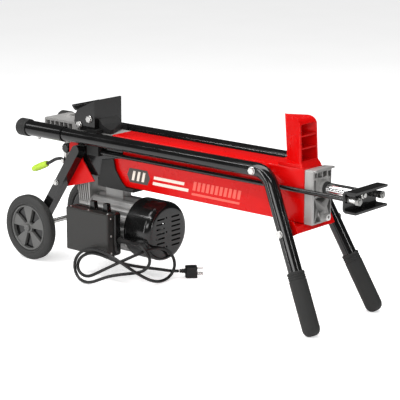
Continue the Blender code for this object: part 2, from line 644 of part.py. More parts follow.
def build_wheel(side, face_y, sign):
    """A five-spoke hub with a solid rubber tyre; face_y is its outer face, and sign points outwards."""
    centre = Vector((WHEEL_X, face_y, WHEEL_RADIUS))
    pivot = bpy.data.objects.new(f"wheel_pivot_{side}", None)
    bpy.context.scene.collection.objects.link(pivot)
    pivot.parent = GROUND
    pivot.location = centre
    inward = (0, -sign, 0)
    width = WHEEL_WIDTH
    outer_half = [(0.0040, HUB_RADIUS + GAP), (0.0000, HUB_RADIUS + 0.0100),
                  (0.0012, WHEEL_RADIUS - 0.0080),
                  (0.0080, WHEEL_RADIUS)]
    tread = outer_half + [(width - along, radius) for along, radius in reversed(outer_half)]
    place(f"tyre_{side}", turned(tread, centre, inward, 40), "tyre_rubber", parent=pivot, origin=centre,
          smooth=True)
    rim = HUB_RADIUS - 0.0045
    disc = [(0.0045, rim), (0.0045, HUB_RADIUS), (width - 0.0045, HUB_RADIUS), (width - 0.0045, rim),
            (0.0170, rim),
            (0.0170, 0.0130), (width - 0.001, 0.0130), (width - 0.001, HUB_BORE), (0.0060, HUB_BORE),
            (0.0045, 0.0130),
            (0.0120, 0.0165), (0.0120, rim)]
    hub = place(f"hub_{side}", turned(disc, centre, inward, 24), "hub_plastic", parent=pivot, origin=centre)
    for k in range(5):
        turn = math.radians(90 + 72 * k)
        inner, outer = 0.0135, HUB_RADIUS - 0.0035
        flat = [(inner, -0.0040), (outer, -0.0150), (outer, 0.0150), (inner, 0.0040)]
        corners = [(WHEEL_X + r * math.cos(turn) - s * math.sin(turn),
                    WHEEL_RADIUS + r * math.sin(turn) + s * math.cos(turn))
                   for r, s in flat]
        span = sorted((face_y - sign * 0.0060, face_y - sign * 0.0140))
        add(hub, prism(corners, "Y", *span))


# ---------------------------------------------------------------- motor, fan and pump
def motor_axis_point(x):
    return Vector((x, 0, MOTOR_Z))


def build_motor():
    length = MOTOR_X[1] - MOTOR_X[0]
    shell = [(0, MOTOR_RADIUS - 0.0040), (0, MOTOR_RADIUS), (length, MOTOR_RADIUS),
             (length, MOTOR_RADIUS - 0.0040)]
    steps = 64
    body = bmesh.new()
    rings = []
    for x in MOTOR_X:
        outer, inner = [], []
        for k in range(steps):
            turn = 2 * math.pi * k / steps
            fin = MOTOR_FIN if k % 4 < 2 else 0.0
            direction = Vector((0, math.cos(turn), math.sin(turn)))
            outer.append(body.verts.new(motor_axis_point(x) + direction * (MOTOR_RADIUS + fin)))
            inner.append(body.verts.new(motor_axis_point(x) + direction * (MOTOR_RADIUS - 0.0040)))
        rings.append((outer, inner))
    for k in range(steps):
        n = (k + 1) % steps
        (outer0, inner0), (outer1, inner1) = rings
        body.faces.new((outer0[k], outer0[n], outer1[n], outer1[k]))
        body.faces.new((inner0[k], inner1[k], inner1[n], inner0[n]))
        for outer, inner in rings:
            body.faces.new((outer[k], inner[k], inner[n], outer[n]))
    housing = place("motor_housing", body, "motor_aluminium")
    add(housing, block((-0.2740, -0.0140, MOTOR_Z + 0.0560), (-0.2190, 0.0140, FOOT_TOP_Z)))
    bell_x = MOTOR_X[0] - GAP
    bell = [(0, BEARING_RADIUS + GAP), (0, MOTOR_RADIUS + 0.003), (-0.0060, MOTOR_RADIUS + 0.003),
            (-0.0126, MOTOR_RADIUS - 0.006),
            (-0.0126, SHAFT_RADIUS + 0.0010), (-0.0090, SHAFT_RADIUS + 0.0010),
            (-0.0090, BEARING_RADIUS + GAP)]
    place("motor_end_bell", turned(bell, motor_axis_point(bell_x), "X", 32), "motor_aluminium")
    stator = [(0.012, 0.0325), (0.012, MOTOR_RADIUS - 0.0040 - GAP), (0.100, MOTOR_RADIUS - 0.0040 - GAP),
              (0.100, 0.0325)]
    place("motor_stator", turned(stator, motor_axis_point(MOTOR_X[0]), "X", 32), "steel")
    bearing = [(0, SHAFT_RADIUS + RUNNING_FIT), (0, BEARING_RADIUS), (-0.0085, BEARING_RADIUS),
               (-0.0085, SHAFT_RADIUS + RUNNING_FIT)]
    place("bearing_pump_end", turned(bearing, motor_axis_point(bell_x), "X", 32), "steel")
    carrier = [(0.106, SHAFT_RADIUS + RUNNING_FIT), (0.106, MOTOR_RADIUS - 0.0040 - GAP),
               (0.112, MOTOR_RADIUS - 0.0040 - GAP),
               (0.112, 0.0200), (0.118, 0.0200), (0.118, SHAFT_RADIUS + RUNNING_FIT)]
    place("bearing_fan_end", turned(carrier, motor_axis_point(MOTOR_X[0]), "X", 32), "steel")
    build_rotor()
    build_fan_cover()


def build_rotor():
    """The rotor with its shaft, and the cooling fan that the shaft turns."""
    pivot = bpy.data.objects.new("rotor_pivot", None)
    bpy.context.scene.collection.objects.link(pivot)
    pivot.parent = GROUND
    pivot.location = motor_axis_point(MOTOR_X[0])
    start = PUMP_FACE_X - GEAR_DEPTH + 0.0008
    end = -0.1125
    core = (MOTOR_X[0] + 0.014, MOTOR_X[0] + 0.098)
    profile = [(start, 0), (start, SHAFT_RADIUS), (core[0], SHAFT_RADIUS), (core[0], 0.0318),
               (core[1], 0.0318),
               (core[1], SHAFT_RADIUS), (end, SHAFT_RADIUS), (end, 0)]
    place("motor_rotor", turned(profile, (0, 0, MOTOR_Z), "X", 32), "steel", parent=pivot,
          origin=pivot.location)
    hub = [(-0.1420, SHAFT_RADIUS + GAP), (-0.1420, 0.0160), (-0.1180, 0.0160),
           (-0.1180, SHAFT_RADIUS + GAP)]
    fan = place("cooling_fan", turned(hub, (0, 0, MOTOR_Z), "X", 24), "gloss_plastic", parent=pivot,
                origin=pivot.location)
    for k in range(6):
        turn = math.radians(60 * k)
        radial = Vector((0, math.cos(turn), math.sin(turn)))
        across = Vector((0, -math.sin(turn), math.cos(turn)))
        inner, outer, thick = 0.0120, 0.0560, 0.0011
        corners = [radial * inner - across * thick, radial * outer - across * thick,
                   radial * outer + across * thick, radial * inner + across * thick]
        add(fan, prism([(c.y, c.z + MOTOR_Z) for c in corners], "X", -0.1400, -0.1200))


def build_fan_cover():
    """The rounded cover over the fan, with two columns of slots in its end."""
    length = COVER_X[1] - COVER_X[0]
    rounding = [(length - COVER_ROUND + COVER_ROUND * math.sin(a),
                 COVER_RADIUS - COVER_ROUND + COVER_ROUND * math.cos(a))
                for a in (math.radians(t) for t in (0, 30, 60, 90))]
    inner = COVER_ROUND - COVER_WALL
    inner_round = [(length - COVER_ROUND + inner * math.sin(a),
                    COVER_RADIUS - COVER_ROUND + inner * math.cos(a))
                   for a in (math.radians(t) for t in (90, 45, 0))]
    profile = [(0, COVER_RADIUS)] + rounding + [(length, 0), (length - COVER_WALL, 0)] + inner_round
    profile += [(0.0, COVER_RADIUS - COVER_WALL)]
    cover = place("fan_cover", turned(profile, motor_axis_point(COVER_X[0]), "X", 36), "gloss_plastic",
                  smooth=True)
    slots = bmesh.new()
    for row in range(7):
        z = MOTOR_Z - 0.0330 + 0.0110 * row
        half_height = 0.0018
        for y0, y1 in ((-0.0400, -0.0120), (0.0100, 0.0400)):
            reach = math.sqrt(max(0.0, 0.0500 ** 2 - (z - MOTOR_Z) ** 2))
            span = (max(y0, -reach), min(y1, reach))
            piece = block((COVER_X[1] - 0.006, span[0], z - half_height),
                          (COVER_X[1] + 0.004, span[1], z + half_height))
            data = bpy.data.meshes.new("slot")
            piece.to_mesh(data)
            piece.free()
            slots.from_mesh(data)
            bpy.data.meshes.remove(data)
    cut(cover, slots)


def build_pump():
    """The finned aluminium gear pump behind the motor, and its two gears."""
    top = 0.2246
    plan = [(-0.3660, top), (PUMP_FACE_X, top), (PUMP_FACE_X, 0.0760), (-0.3440, 0.0760), (-0.3490, 0.1500)]
    half = 0.0270
    body = place("pump_body", prism(plan, "Y", -half, half), "cast_aluminium")
    fins = [-0.3590 + 0.0066 * k for k in range(6)]
    for x in fins:
        lean = 0.008
        for sign in (-1, 1):
            groove = [(x, 0.2100), (x + 0.0034, 0.2100), (x + 0.0034 + lean, 0.1480), (x + lean, 0.1480)]
            y0, y1 = sorted((sign * (half - 0.0070), sign * (half + 0.01)))
            cut(body, prism(groove, "Y", y0, y1))
    for k in range(4):
        z = 0.1560 + 0.0135 * k
        cut(body, prism([(-0.3800, z), (-0.3560, z), (-0.3560, z + 0.0050), (-0.3800, z + 0.0050)], "Y",
                        -0.05, 0.05))
    face = PUMP_FACE_X
    cut(body, rod((face - GEAR_DEPTH, 0, MOTOR_Z), (face + 0.01, 0, MOTOR_Z), GEAR_TIP + 0.0006, 32))
    cut(body, rod((face - GEAR_DEPTH, GEAR_CENTRES, MOTOR_Z), (face + 0.01, GEAR_CENTRES, MOTOR_Z),
                  GEAR_TIP + 0.0006, 32))
    pin = (face - GEAR_DEPTH - 0.004, face - 0.0015)
    build_gear("drive_gear", motor_axis_point(0), 0.0, pin)
    build_gear("driven_gear", Vector((0, GEAR_CENTRES, MOTOR_Z)), 180.0 / GEAR_TEETH, pin)


def build_gear(name, axis_point, phase, span):
    """A spur gear in the pump, with a central hole on its shaft or a journal of its own."""
    x0, x1 = PUMP_FACE_X - GEAR_DEPTH + 0.0005, PUMP_FACE_X - 0.0008
    outline = []
    for k in range(GEAR_TEETH):
        middle = math.radians(phase + 360.0 * k / GEAR_TEETH)
        pitch = 2 * math.pi / GEAR_TEETH
        for share, radius in ((-0.34, GEAR_ROOT), (-0.13, GEAR_TIP), (0.13, GEAR_TIP), (0.34, GEAR_ROOT)):
            angle = middle + pitch * share
            outline.append((axis_point.y + radius * math.cos(angle),
                            axis_point.z + radius * math.sin(angle)))
    gear = place(name, prism(outline, "X", x0, x1), "steel", origin=(x0, axis_point.y, axis_point.z))
    if name == "drive_gear":
        cut(gear, rod((x0 - 0.01, axis_point.y, axis_point.z), (x1 + 0.01, axis_point.y, axis_point.z),
                      SHAFT_RADIUS + GAP, 24))


# ---------------------------------------------------------------- switch box
def build_switch_box():
    """The switch box beside the motor: a body, a front cover, a push button and a cable gland."""
    split = BOX_Y[0] + 0.0060
    body = place("switch_box_body", block((BOX_X[0] + 0.002, split + GAP, BOX_Z[0]),
                                          (BOX_X[1], BOX_Y[1], BOX_Z[1] + 0.002)),
                 "gloss_plastic")
    soften(body, 0.008, 3)
    wall = 0.0028
    cut(body, block((BOX_X[0] + 0.002 + wall, split - 0.02, BOX_Z[0] + wall),
                    (BOX_X[1] - wall, BOX_Y[1] - wall, BOX_Z[1] + 0.002 - wall)))
    foot = block((-0.2620, BOX_Y[1] - 0.0015, 0.0850), (-0.1950, -MOTOR_RADIUS - MOTOR_FIN - GAP, 0.1370))
    add(body, foot)
    for x in (-0.2335, -0.1930):
        add(body, block((x - 0.0070, -0.1000, BOX_Z[1]), (x + 0.0070, -0.0880, BOX_Z[1] + 0.0185)))
    cut(body, rod((BOX_X[1] - 0.02, GLAND_Y, GLAND_Z), (BOX_X[1] + 0.02, GLAND_Y, GLAND_Z), 0.0055, 20))
    cut(body, rod((BOX_X[0] - 0.02, BUTTON_Y, BUTTON_Z), (BOX_X[0] + 0.02, BUTTON_Y, BUTTON_Z),
                  BUTTON_RADIUS + 0.0006, 24))
    cover = place("switch_box_cover",
                  block((BOX_X[0], BOX_Y[0], BOX_Z[0]), (BOX_X[1] - 0.001, split, BOX_Z[1])),
                  "box_plastic")
    soften(cover, 0.0022, 2)
    button_face = BOX_X[0] - 0.0045
    button = [(0, 0), (0, BUTTON_RADIUS), (-0.0120, BUTTON_RADIUS), (-0.0120, 0)]
    place("switch_button", turned(button, (button_face + 0.0120, BUTTON_Y, BUTTON_Z), "X", 24),
          "green_plastic",
          origin=(button_face, BUTTON_Y, BUTTON_Z))
    gland = [(-0.006, 0), (-0.006, 0.0050), (GAP, 0.0050), (GAP, 0.0078), (0.006, 0.0076), (0.007, 0.0060),
             (GLAND_LENGTH, 0.0044), (GLAND_LENGTH, 0)]
    place("cord_gland", turned(gland, (BOX_X[1], GLAND_Y, GLAND_Z), "X", 16), "rubber", smooth=True)


# ---------------------------------------------------------------- power cord
def along_route(points, spacing):
    """Evenly spaced points of the smooth cubic curve that a list of route points draws."""
    route = [Vector(p) for p in points]
    route = [route[0] * 2 - route[1]] + route + [route[-1] * 2 - route[-2]]
    fine = []
    for a, b, c, d in zip(route, route[1:], route[2:], route[3:]):
        for k in range(24):
            t = k / 24
            fine.append((a * (1 - t) ** 3 + b * (3 * t ** 3 - 6 * t * t + 4)
                         + c * (-3 * t ** 3 + 3 * t * t + 3 * t + 1) + d * t ** 3) / 6)
    fine.append(route[-2])
    lengths = [(q - p).length for p, q in zip(fine, fine[1:])]
    count = round(sum(lengths) / spacing)
    step = sum(lengths) / count
    kept, travelled = [fine[0]], 0.0
    for point, length in zip(fine[1:], lengths):
        travelled += length
        if travelled >= step * len(kept) and len(kept) < count:
            kept.append(point)
    return kept + [fine[-1]]


def build_cord():
    """The mains lead, tied in a loose figure of eight that leans on the switch box and the fan cover."""
    curve = bpy.data.curves.new("power_cord", "CURVE")
    curve.dimensions = "3D"
    curve.bevel_depth = CORD_RADIUS
    curve.bevel_resolution = 2
    curve.use_fill_caps = True
    points = along_route(CORD_ROUTE, CORD_RADIUS * 2 * 2.3)
    line = curve.splines.new("POLY")
    line.points.add(len(points) - 1)
    for spot, point in zip(line.points, points):
        spot.co = (*point, 1.0)
    curve.materials.append(MATERIALS["cable"])
    cord = bpy.data.objects.new("power_cord", curve)
    bpy.context.scene.collection.objects.link(cord)
    cord.parent = GROUND


def build_plug():
    """The moulded plug on the end of the lead, lying on the floor with its three pins forwards."""
    turn = Matrix.Translation(PLUG_START) @ Matrix.Rotation(PLUG_HEADING, 4, "Z")
    relief = [(0, 0), (0, 0.0042), (0.0120, 0.0058), (0.0160, 0.0058), (0.0160, 0)]
    body = [(0.0130, -0.0075), (0.0170, -0.0125), (0.0400, -0.0125), (0.0400, 0.0125), (0.0170, 0.0125),
            (0.0130, 0.0075)]

    def turned_round(shape):
        bmesh.ops.transform(shape, matrix=turn, verts=shape.verts)
        return shape

    height = PLUG_START.z - 0.0005
    plug = place("plug", turned_round(prism(body, "Z", -height, 0.0105)), "cable")
    soften(plug, 0.003, 2)
    add(plug, turned_round(turned(relief, (0, 0, 0), "X", 16)))
    for y, z in ((-0.0065, -0.0065), (0.0065, -0.0065), (0.0, 0.0060)):
        add(plug, turned_round(rod((0.0380, y, z), (0.0540, y, z), 0.0020, 10)))


# ---------------------------------------------------------------- control lever
def build_lever():
    """The valve lever on its clevis, its grip, and the spool that it slides."""
    bracket = place("lever_bracket", block((-0.3890, -0.0362, 0.2240), (-0.3805, -0.0322, 0.2620)),
                    "zinc_steel")
    soften(bracket, 0.001, 1)
    pivot_x, pivot_y, pivot_z = LEVER_PIVOT
    add(bracket, rod((pivot_x, -0.0340, pivot_z), (pivot_x, pivot_y - 0.0020, pivot_z), LEVER_PIN, 16))
    path = [(pivot_x + 0.0040, pivot_y, pivot_z), (pivot_x - 0.0100, pivot_y, 0.2435),
            (pivot_x - 0.0280, pivot_y, 0.2390),
            (pivot_x - 0.0470, pivot_y, 0.2290), (pivot_x - 0.0750, pivot_y, 0.2170)]
    arm = place("lever_arm", sweep(path, [circle(0.0040, 12)]), "black_paint", origin=LEVER_PIVOT,
                smooth=True)
    add(arm, rod((pivot_x, pivot_y - 0.0030, pivot_z), (pivot_x, pivot_y + 0.0030, pivot_z), 0.0058, 20))
    cut(arm, rod((pivot_x, -0.06, pivot_z), (pivot_x, 0.0, pivot_z), LEVER_PIN + RUNNING_FIT, 16))
    tip = Vector(path[-1])
    along = (tip - Vector(path[-2])).normalized()
    start = Vector(path[-2]) + along * 0.0080
    grip = [(0, 0.0043), (0, 0.0062), (0.0030, 0.0074), (0.0300, 0.0084), (0.0480, 0.0074),
            (0.0555, 0.0048), (0.0570, 0),
            (0.0290, 0), (0.0290, 0.0043)]
    place("lever_grip", turned(grip, start, along, 20), "lime_plastic", origin=LEVER_PIVOT, smooth=True)
    rear = (-0.3865, SPOOL_Y, SPOOL_Z)
    land, waist = SPOOL_RADIUS, SPOOL_RADIUS - 0.0018
    spool = [(0, 0), (0, waist), (0.0060, waist), (0.0060, land), (0.0150, land), (0.0150, waist),
             (0.0220, waist),
             (0.0220, land), (0.0320, land), (0.0320, 0)]
    place("valve_spool", turned(spool, rear, "X", 24), "steel", origin=rear)


def build_oil_plug():
    """A knob that screws into the side of the rear casting and vents its oil."""
    root = -BEAM_HALF_WIDTH - GAP
    head = rod((PLUG_X, root - 0.0145, PLUG_Z), (PLUG_X, root, PLUG_Z), 0.0115, 8)
    plug = place("oil_plug", head, "black_paint", origin=(PLUG_X, root, PLUG_Z))
    soften(plug, 0.0012, 1)
    add(plug, rod((PLUG_X, root - 0.0010, PLUG_Z), (PLUG_X, root + 0.0085, PLUG_Z), PLUG_SHANK, 20))


# ---------------------------------------------------------------- ram and pusher
def build_ram():
    piston_x = BEAM_REAR_X + 0.0200
    piston = [(0, 0), (0, BORE_RADIUS - 0.0005), (0.0070, BORE_RADIUS - 0.0005),
              (0.0070, BORE_RADIUS - 0.0040),
              (0.0120, BORE_RADIUS - 0.0040), (0.0120, BORE_RADIUS - 0.0005),
              (0.0200, BORE_RADIUS - 0.0005), (0.0200, 0)]
    place("piston", turned(piston, (piston_x, 0, RAM_Z), "X", 28), "steel")
    seal = [(0.0073, BORE_RADIUS - 0.0037), (0.0073, BORE_RADIUS - 0.0002), (0.0117, BORE_RADIUS - 0.0002),
            (0.0117, BORE_RADIUS - 0.0037)]
    place("piston_seal", turned(seal, (piston_x, 0, RAM_Z), "X", 28), "rubber", smooth=True)
    rod_start = piston_x + 0.0203
    end_x = WEB_X[0] - GAP
    nose = [(rod_start, 0), (rod_start, ROD_RADIUS), (end_x, ROD_RADIUS), (end_x, 0.0060),
            (WEB_X[1] + GAP, 0.0060),
            (WEB_X[1] + GAP, 0.0095), (WEB_X[1] + 0.0085, 0.0095), (WEB_X[1] + 0.0085, 0.0060),
            (WEB_X[1] + 0.0120, 0.0055),
            (WEB_X[1] + 0.0120, 0)]
    place("piston_rod", turned(nose, (0, 0, RAM_Z), "X", 28), "chrome", smooth=True)
    build_cross_bracket()
    for side, sign in (("near", -1), ("far", 1)):
        build_tie_rod(side, sign)


def build_cross_bracket():
    """The channel on the end of the piston rod, with its flanges turned away from the machine."""
    low, high = BRACKET_Z
    outer, wall = 0.0080, 0.0050
    inner = outer - wall
    x0 = WEB_X[0]
    outline = [(BRACKET_FRONT_X, low), *arc((x0 + outer, low + outer), outer, 270, 180, 4),
               *arc((x0 + outer, high - outer), outer, 180, 90, 4), (BRACKET_FRONT_X, high),
               (BRACKET_FRONT_X, high - wall), *arc((x0 + outer, high - outer), inner, 90, 180, 3),
               *arc((x0 + outer, low + outer), inner, 180, 270, 3), (BRACKET_FRONT_X, low + wall)]
    bracket = place("cross_bracket", prism(outline, "Y", -BRACKET_HALF_WIDTH, BRACKET_HALF_WIDTH),
                    "black_paint")
    for y, z, radius in ((-TIE_Y, TIE_Z, TIE_RADIUS + GAP), (TIE_Y, TIE_Z, TIE_RADIUS + GAP),
                         (0, RAM_Z, 0.0063)):
        cut(bracket, rod((x0 - 0.02, y, z), (x0 + 0.02, y, z), radius, 20))


def build_tie_rod(side, sign):
    """A tie rod with its washer behind the channel, and its spacer and nut in front."""
    web0, web1 = WEB_X
    profile = [(-0.2945, 0), (-0.2945, TIE_RADIUS), (web0 - 0.0035, TIE_RADIUS), (web0 - 0.0035, 0.0088),
               (web0 - GAP, 0.0088),
               (web0 - GAP, TIE_RADIUS), (web1 + GAP, TIE_RADIUS), (web1 + GAP, 0.0062), (0.4480, 0.0062),
               (0.4480, 0.0090),
               (0.4560, 0.0090), (0.4585, 0.0060), (0.4585, 0)]
    place(f"tie_rod_{side}", turned(profile, (0, sign * TIE_Y, TIE_Z), "X", 20), "black_paint",
          smooth=False)


def build_pusher():
    """The pusher plate with its cheeks and top flap, and the carriage that it is bolted to."""
    low = BEAM_TOP_Z + 0.0007
    skirt = BEAM_TOP_Z + 0.0085
    half = PUSHER_HALF_WIDTH
    face = PUSHER_FACE_X
    plate = place("pusher_plate", block((face - 0.0050, -half, skirt), (face, half, PUSHER_TOP_Z)),
                  "black_paint")
    cheek = [(face - 0.002, skirt), (face - 0.002, PUSHER_TOP_Z - 0.001), (-0.3330, 0.3655),
             (-0.3405, 0.3560),
             (-0.3425, 0.3400), (-0.3380, skirt)]
    for sign in (-1, 1):
        add(plate, prism(cheek, "Y", *sorted((sign * (half - 0.0040), sign * half))))
    flap = [(face - 0.0005, PUSHER_TOP_Z - 0.0035), (face - 0.0005, PUSHER_TOP_Z), (-0.3310, 0.3690),
            (-0.3370, 0.3690),
            (-0.3430, 0.3725), (-0.3480, 0.3780), (-0.3505, 0.3760), (-0.3455, 0.3695), (-0.3395, 0.3655),
            (-0.3300, 0.3650)]
    add(plate, prism(flap, "Y", -half + 0.0005, half - 0.0005))
    core = half - 0.0040 - GAP
    rear_block = [(-0.3360, low), (-0.3360, 0.3440), (face - 0.0053, 0.3440), (face - 0.0053, skirt - GAP),
                  (-0.2640, skirt - GAP), (-0.2640, low)]
    carriage = place("pusher_carriage", prism(rear_block, "Y", -core, core), "dark_paint")
    shoe = [(-0.2900, low), (-0.2900, skirt - GAP), (face + GAP, skirt - GAP), (face + GAP, 0.3510),
            (-0.2640, 0.3380),
            (-0.2420, 0.3290), (-0.2400, low)]
    add(carriage, prism(shoe, "Y", -0.0310, 0.0310))
    nose = [(-0.2340, -0.0350), (-0.2720, 0.0480), (-0.2000, 0.0480), (-0.2000, -0.0350)]
    cut(carriage, prism(nose, "Z", low - 0.0010, 0.3600))
    arm_top = skirt - GAP - 0.0004
    arm = [(-0.2985, 0.2682), (-0.2985, arm_top), (-0.2650, arm_top), (-0.2620, 0.3060), (-0.2620, 0.2682)]
    for sign in (-1, 1):
        add(carriage, prism(arm, "Y", *sorted((sign * ARM_Y[0], sign * ARM_Y[1]))))
    for sign in (-1, 1):
        cut(carriage, rod((-0.2950, sign * TIE_Y, TIE_Z), (-0.2, sign * TIE_Y, TIE_Z), TIE_RADIUS + GAP,
                          20))
    for name, x, z in (("pusher_bolt_upper", -0.2935, 0.3500), ("pusher_bolt_lower", -0.3265, 0.3335)):
        if z < 0.3440 - BOLT_HOLE:
            cut(carriage, rod((x, -0.1, z), (x, 0.1, z), BOLT_HOLE, 16))
        cut(plate, rod((x, -0.1, z), (x, 0.1, z), BOLT_HOLE, 16))
        through_bolt(name, x, z, half + GAP, 0.0088)


# ---------------------------------------------------------------- the machine
for old in list(bpy.data.objects):
    bpy.data.objects.remove(old, do_unlink=True)
MATERIALS = {name: make_material(name) for name in PALETTE}
GROUND = bpy.data.objects.new("ground_datum", None)
bpy.context.scene.collection.objects.link(GROUND)
GROUND.location = (*DATUM, 0)

build_beam()
build_wedge()
build_front_head()
build_rear_casting()
build_cylinder()
build_yoke()
build_saddle()
build_front_leg_bracket()
build_rear_leg_bracket()
build_frame_bolts()
build_axle()
for side, sign in (("near", -1), ("far", 1)):
    build_rail(side, sign)
    build_foot_grip(side, sign)
    build_wheel_leg(side, sign)
build_wheel("near", NEAR_WHEEL_FACE_Y, -1)
build_wheel("far", FAR_WHEEL_FACE_Y, 1)
build_motor()
build_pump()
build_switch_box()
build_cord()
build_plug()
build_lever()
build_oil_plug()
build_ram()
build_pusher()
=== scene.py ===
import json
import math

import bmesh
import bpy
from mathutils import Matrix, Vector

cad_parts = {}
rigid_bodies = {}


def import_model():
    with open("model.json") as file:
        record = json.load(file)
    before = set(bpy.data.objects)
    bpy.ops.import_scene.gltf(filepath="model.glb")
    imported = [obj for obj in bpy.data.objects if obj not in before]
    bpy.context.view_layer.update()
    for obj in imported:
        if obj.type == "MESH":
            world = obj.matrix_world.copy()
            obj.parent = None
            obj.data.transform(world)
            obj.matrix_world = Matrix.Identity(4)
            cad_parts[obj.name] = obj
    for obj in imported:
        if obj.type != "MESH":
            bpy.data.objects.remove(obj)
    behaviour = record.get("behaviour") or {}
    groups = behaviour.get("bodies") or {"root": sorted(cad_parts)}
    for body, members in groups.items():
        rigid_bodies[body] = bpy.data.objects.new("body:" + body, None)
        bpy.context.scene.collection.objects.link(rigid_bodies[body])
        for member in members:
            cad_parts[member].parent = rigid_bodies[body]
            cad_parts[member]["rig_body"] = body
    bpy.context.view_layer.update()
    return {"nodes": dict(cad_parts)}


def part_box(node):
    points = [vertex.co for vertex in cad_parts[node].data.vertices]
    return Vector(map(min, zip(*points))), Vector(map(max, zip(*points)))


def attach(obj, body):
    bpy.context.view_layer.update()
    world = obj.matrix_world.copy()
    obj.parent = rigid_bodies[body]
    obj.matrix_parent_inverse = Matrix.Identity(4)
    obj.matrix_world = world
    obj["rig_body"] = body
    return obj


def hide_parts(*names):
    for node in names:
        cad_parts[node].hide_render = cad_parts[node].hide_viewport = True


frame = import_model()

# Numbers below are metres in the beam's own frame, from its centre line.  SHIFT moves them to the row's.
BEAM_LOW, BEAM_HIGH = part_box("beam_body")
BEAM_FRONT_X = 0.3107
BEAM_HALF_WIDTH = 0.032
SHIFT = Vector((BEAM_HIGH.x - BEAM_FRONT_X, (BEAM_LOW.y + BEAM_HIGH.y) / 2, 0.0))

RAM_Z = 0.280
TIE_Y = 0.0402
TIE_Z = 0.2765
RAIL_Y = 0.0661
RAIL_Z = 0.3112
RAIL_RADIUS = 0.015
LEG_CORNER = Vector((0.2432, RAIL_Y, RAIL_Z))
LEG_FOOT = Vector((0.4007, 0.1117, 0.0))
MOTOR_Z = 0.111
WHEEL_X = -0.4537
WHEEL_RADIUS = 0.0775
GAP = 0.0003
LEG_BOLT_Z = 0.195
KNOB_X = -0.3735
KNOB_Z = 0.2720
BUTTON_Y = -0.0960
BUTTON_Z = 0.1200


# ---------------------------------------------------------------- camera
def build_camera():
    """The studio camera, three quarters from the front right of the machine and a little above it."""
    data = bpy.data.cameras.new("studio_camera")
    data.sensor_width = 36.0
    data.lens = 137.57
    camera = bpy.data.objects.new("studio_camera", data)
    bpy.context.scene.collection.objects.link(camera)
    camera.location = Vector((2.14072, -2.46308, 1.00233)) + SHIFT
    target = Vector((0.0017, 0.0, 0.2002)) + SHIFT
    camera.rotation_euler = (target - camera.location).to_track_quat("-Z", "Y").to_euler()
    bpy.context.scene.camera = camera


# ---------------------------------------------------------------- materials
class Graph:
    """Short names for adding and joining shader nodes."""

    def __init__(self, name):
        self.material = bpy.data.materials.new(name)
        self.material.use_nodes = True
        self.nodes = self.material.node_tree.nodes
        self.links = self.material.node_tree.links
        self.shader = self.nodes["Principled BSDF"]
        self.place = self.nodes.new("ShaderNodeTexCoord").outputs["Object"]

    def join(self, value, socket):
        if isinstance(value, bpy.types.NodeSocket):
            self.links.new(value, socket)
        else:
            socket.default_value = value

    def noise(self, scale, detail=2.0, stretch=None):
        node = self.nodes.new("ShaderNodeTexNoise")
        node.inputs["Scale"].default_value = scale
        node.inputs["Detail"].default_value = detail
        place = self.place
        if stretch:
            mapping = self.nodes.new("ShaderNodeMapping")
            mapping.inputs["Scale"].default_value = stretch
            self.links.new(place, mapping.inputs["Vector"])
            place = mapping.outputs["Vector"]
        self.links.new(place, node.inputs["Vector"])
        return node.outputs["Fac"]

    def remap(self, value, low, high, new_low=0.0, new_high=1.0):
        node = self.nodes.new("ShaderNodeMapRange")
        node.inputs["From Min"].default_value = low
        node.inputs["From Max"].default_value = high
        node.inputs["To Min"].default_value = new_low
        node.inputs["To Max"].default_value = new_high
        self.join(value, node.inputs["Value"])
        return node.outputs["Result"]

    def maths(self, operation, a, b=0.0):
        node = self.nodes.new("ShaderNodeMath")
        node.operation = operation
        self.join(a, node.inputs[0])
        self.join(b, node.inputs[1])
        return node.outputs["Value"]

    def blend(self, share, first, second):
        node = self.nodes.new("ShaderNodeMix")
        node.data_type = "RGBA"
        self.join(share, node.inputs["Factor"])
        self.join(first, node.inputs["A"])
        self.join(second, node.inputs["B"])
        return node.outputs["Result"]

    def edges(self, radius):
        """How far the surface turns away within a radius: near 1 on an edge and 0 on a flat."""
        rounded = self.nodes.new("ShaderNodeBevel")
        rounded.samples = 4
        rounded.inputs["Radius"].default_value = radius
        geometry = self.nodes.new("ShaderNodeNewGeometry")
        compare = self.nodes.new("ShaderNodeVectorMath")
        compare.operation = "DOT_PRODUCT"
        self.links.new(rounded.outputs["Normal"], compare.inputs[0])
        self.links.new(geometry.outputs["Normal"], compare.inputs[1])
        return self.remap(compare.outputs["Value"], 0.995, 0.85)

    def bump(self, height, strength, distance):
        node = self.nodes.new("ShaderNodeBump")
        node.inputs["Strength"].default_value = strength
        node.inputs["Distance"].default_value = distance
        self.links.new(height, node.inputs["Height"])
        self.links.new(node.outputs["Normal"], self.shader.inputs["Normal"])


def tone(colour, factor):
    return (*[min(1.0, c * factor) for c in colour], 1.0)


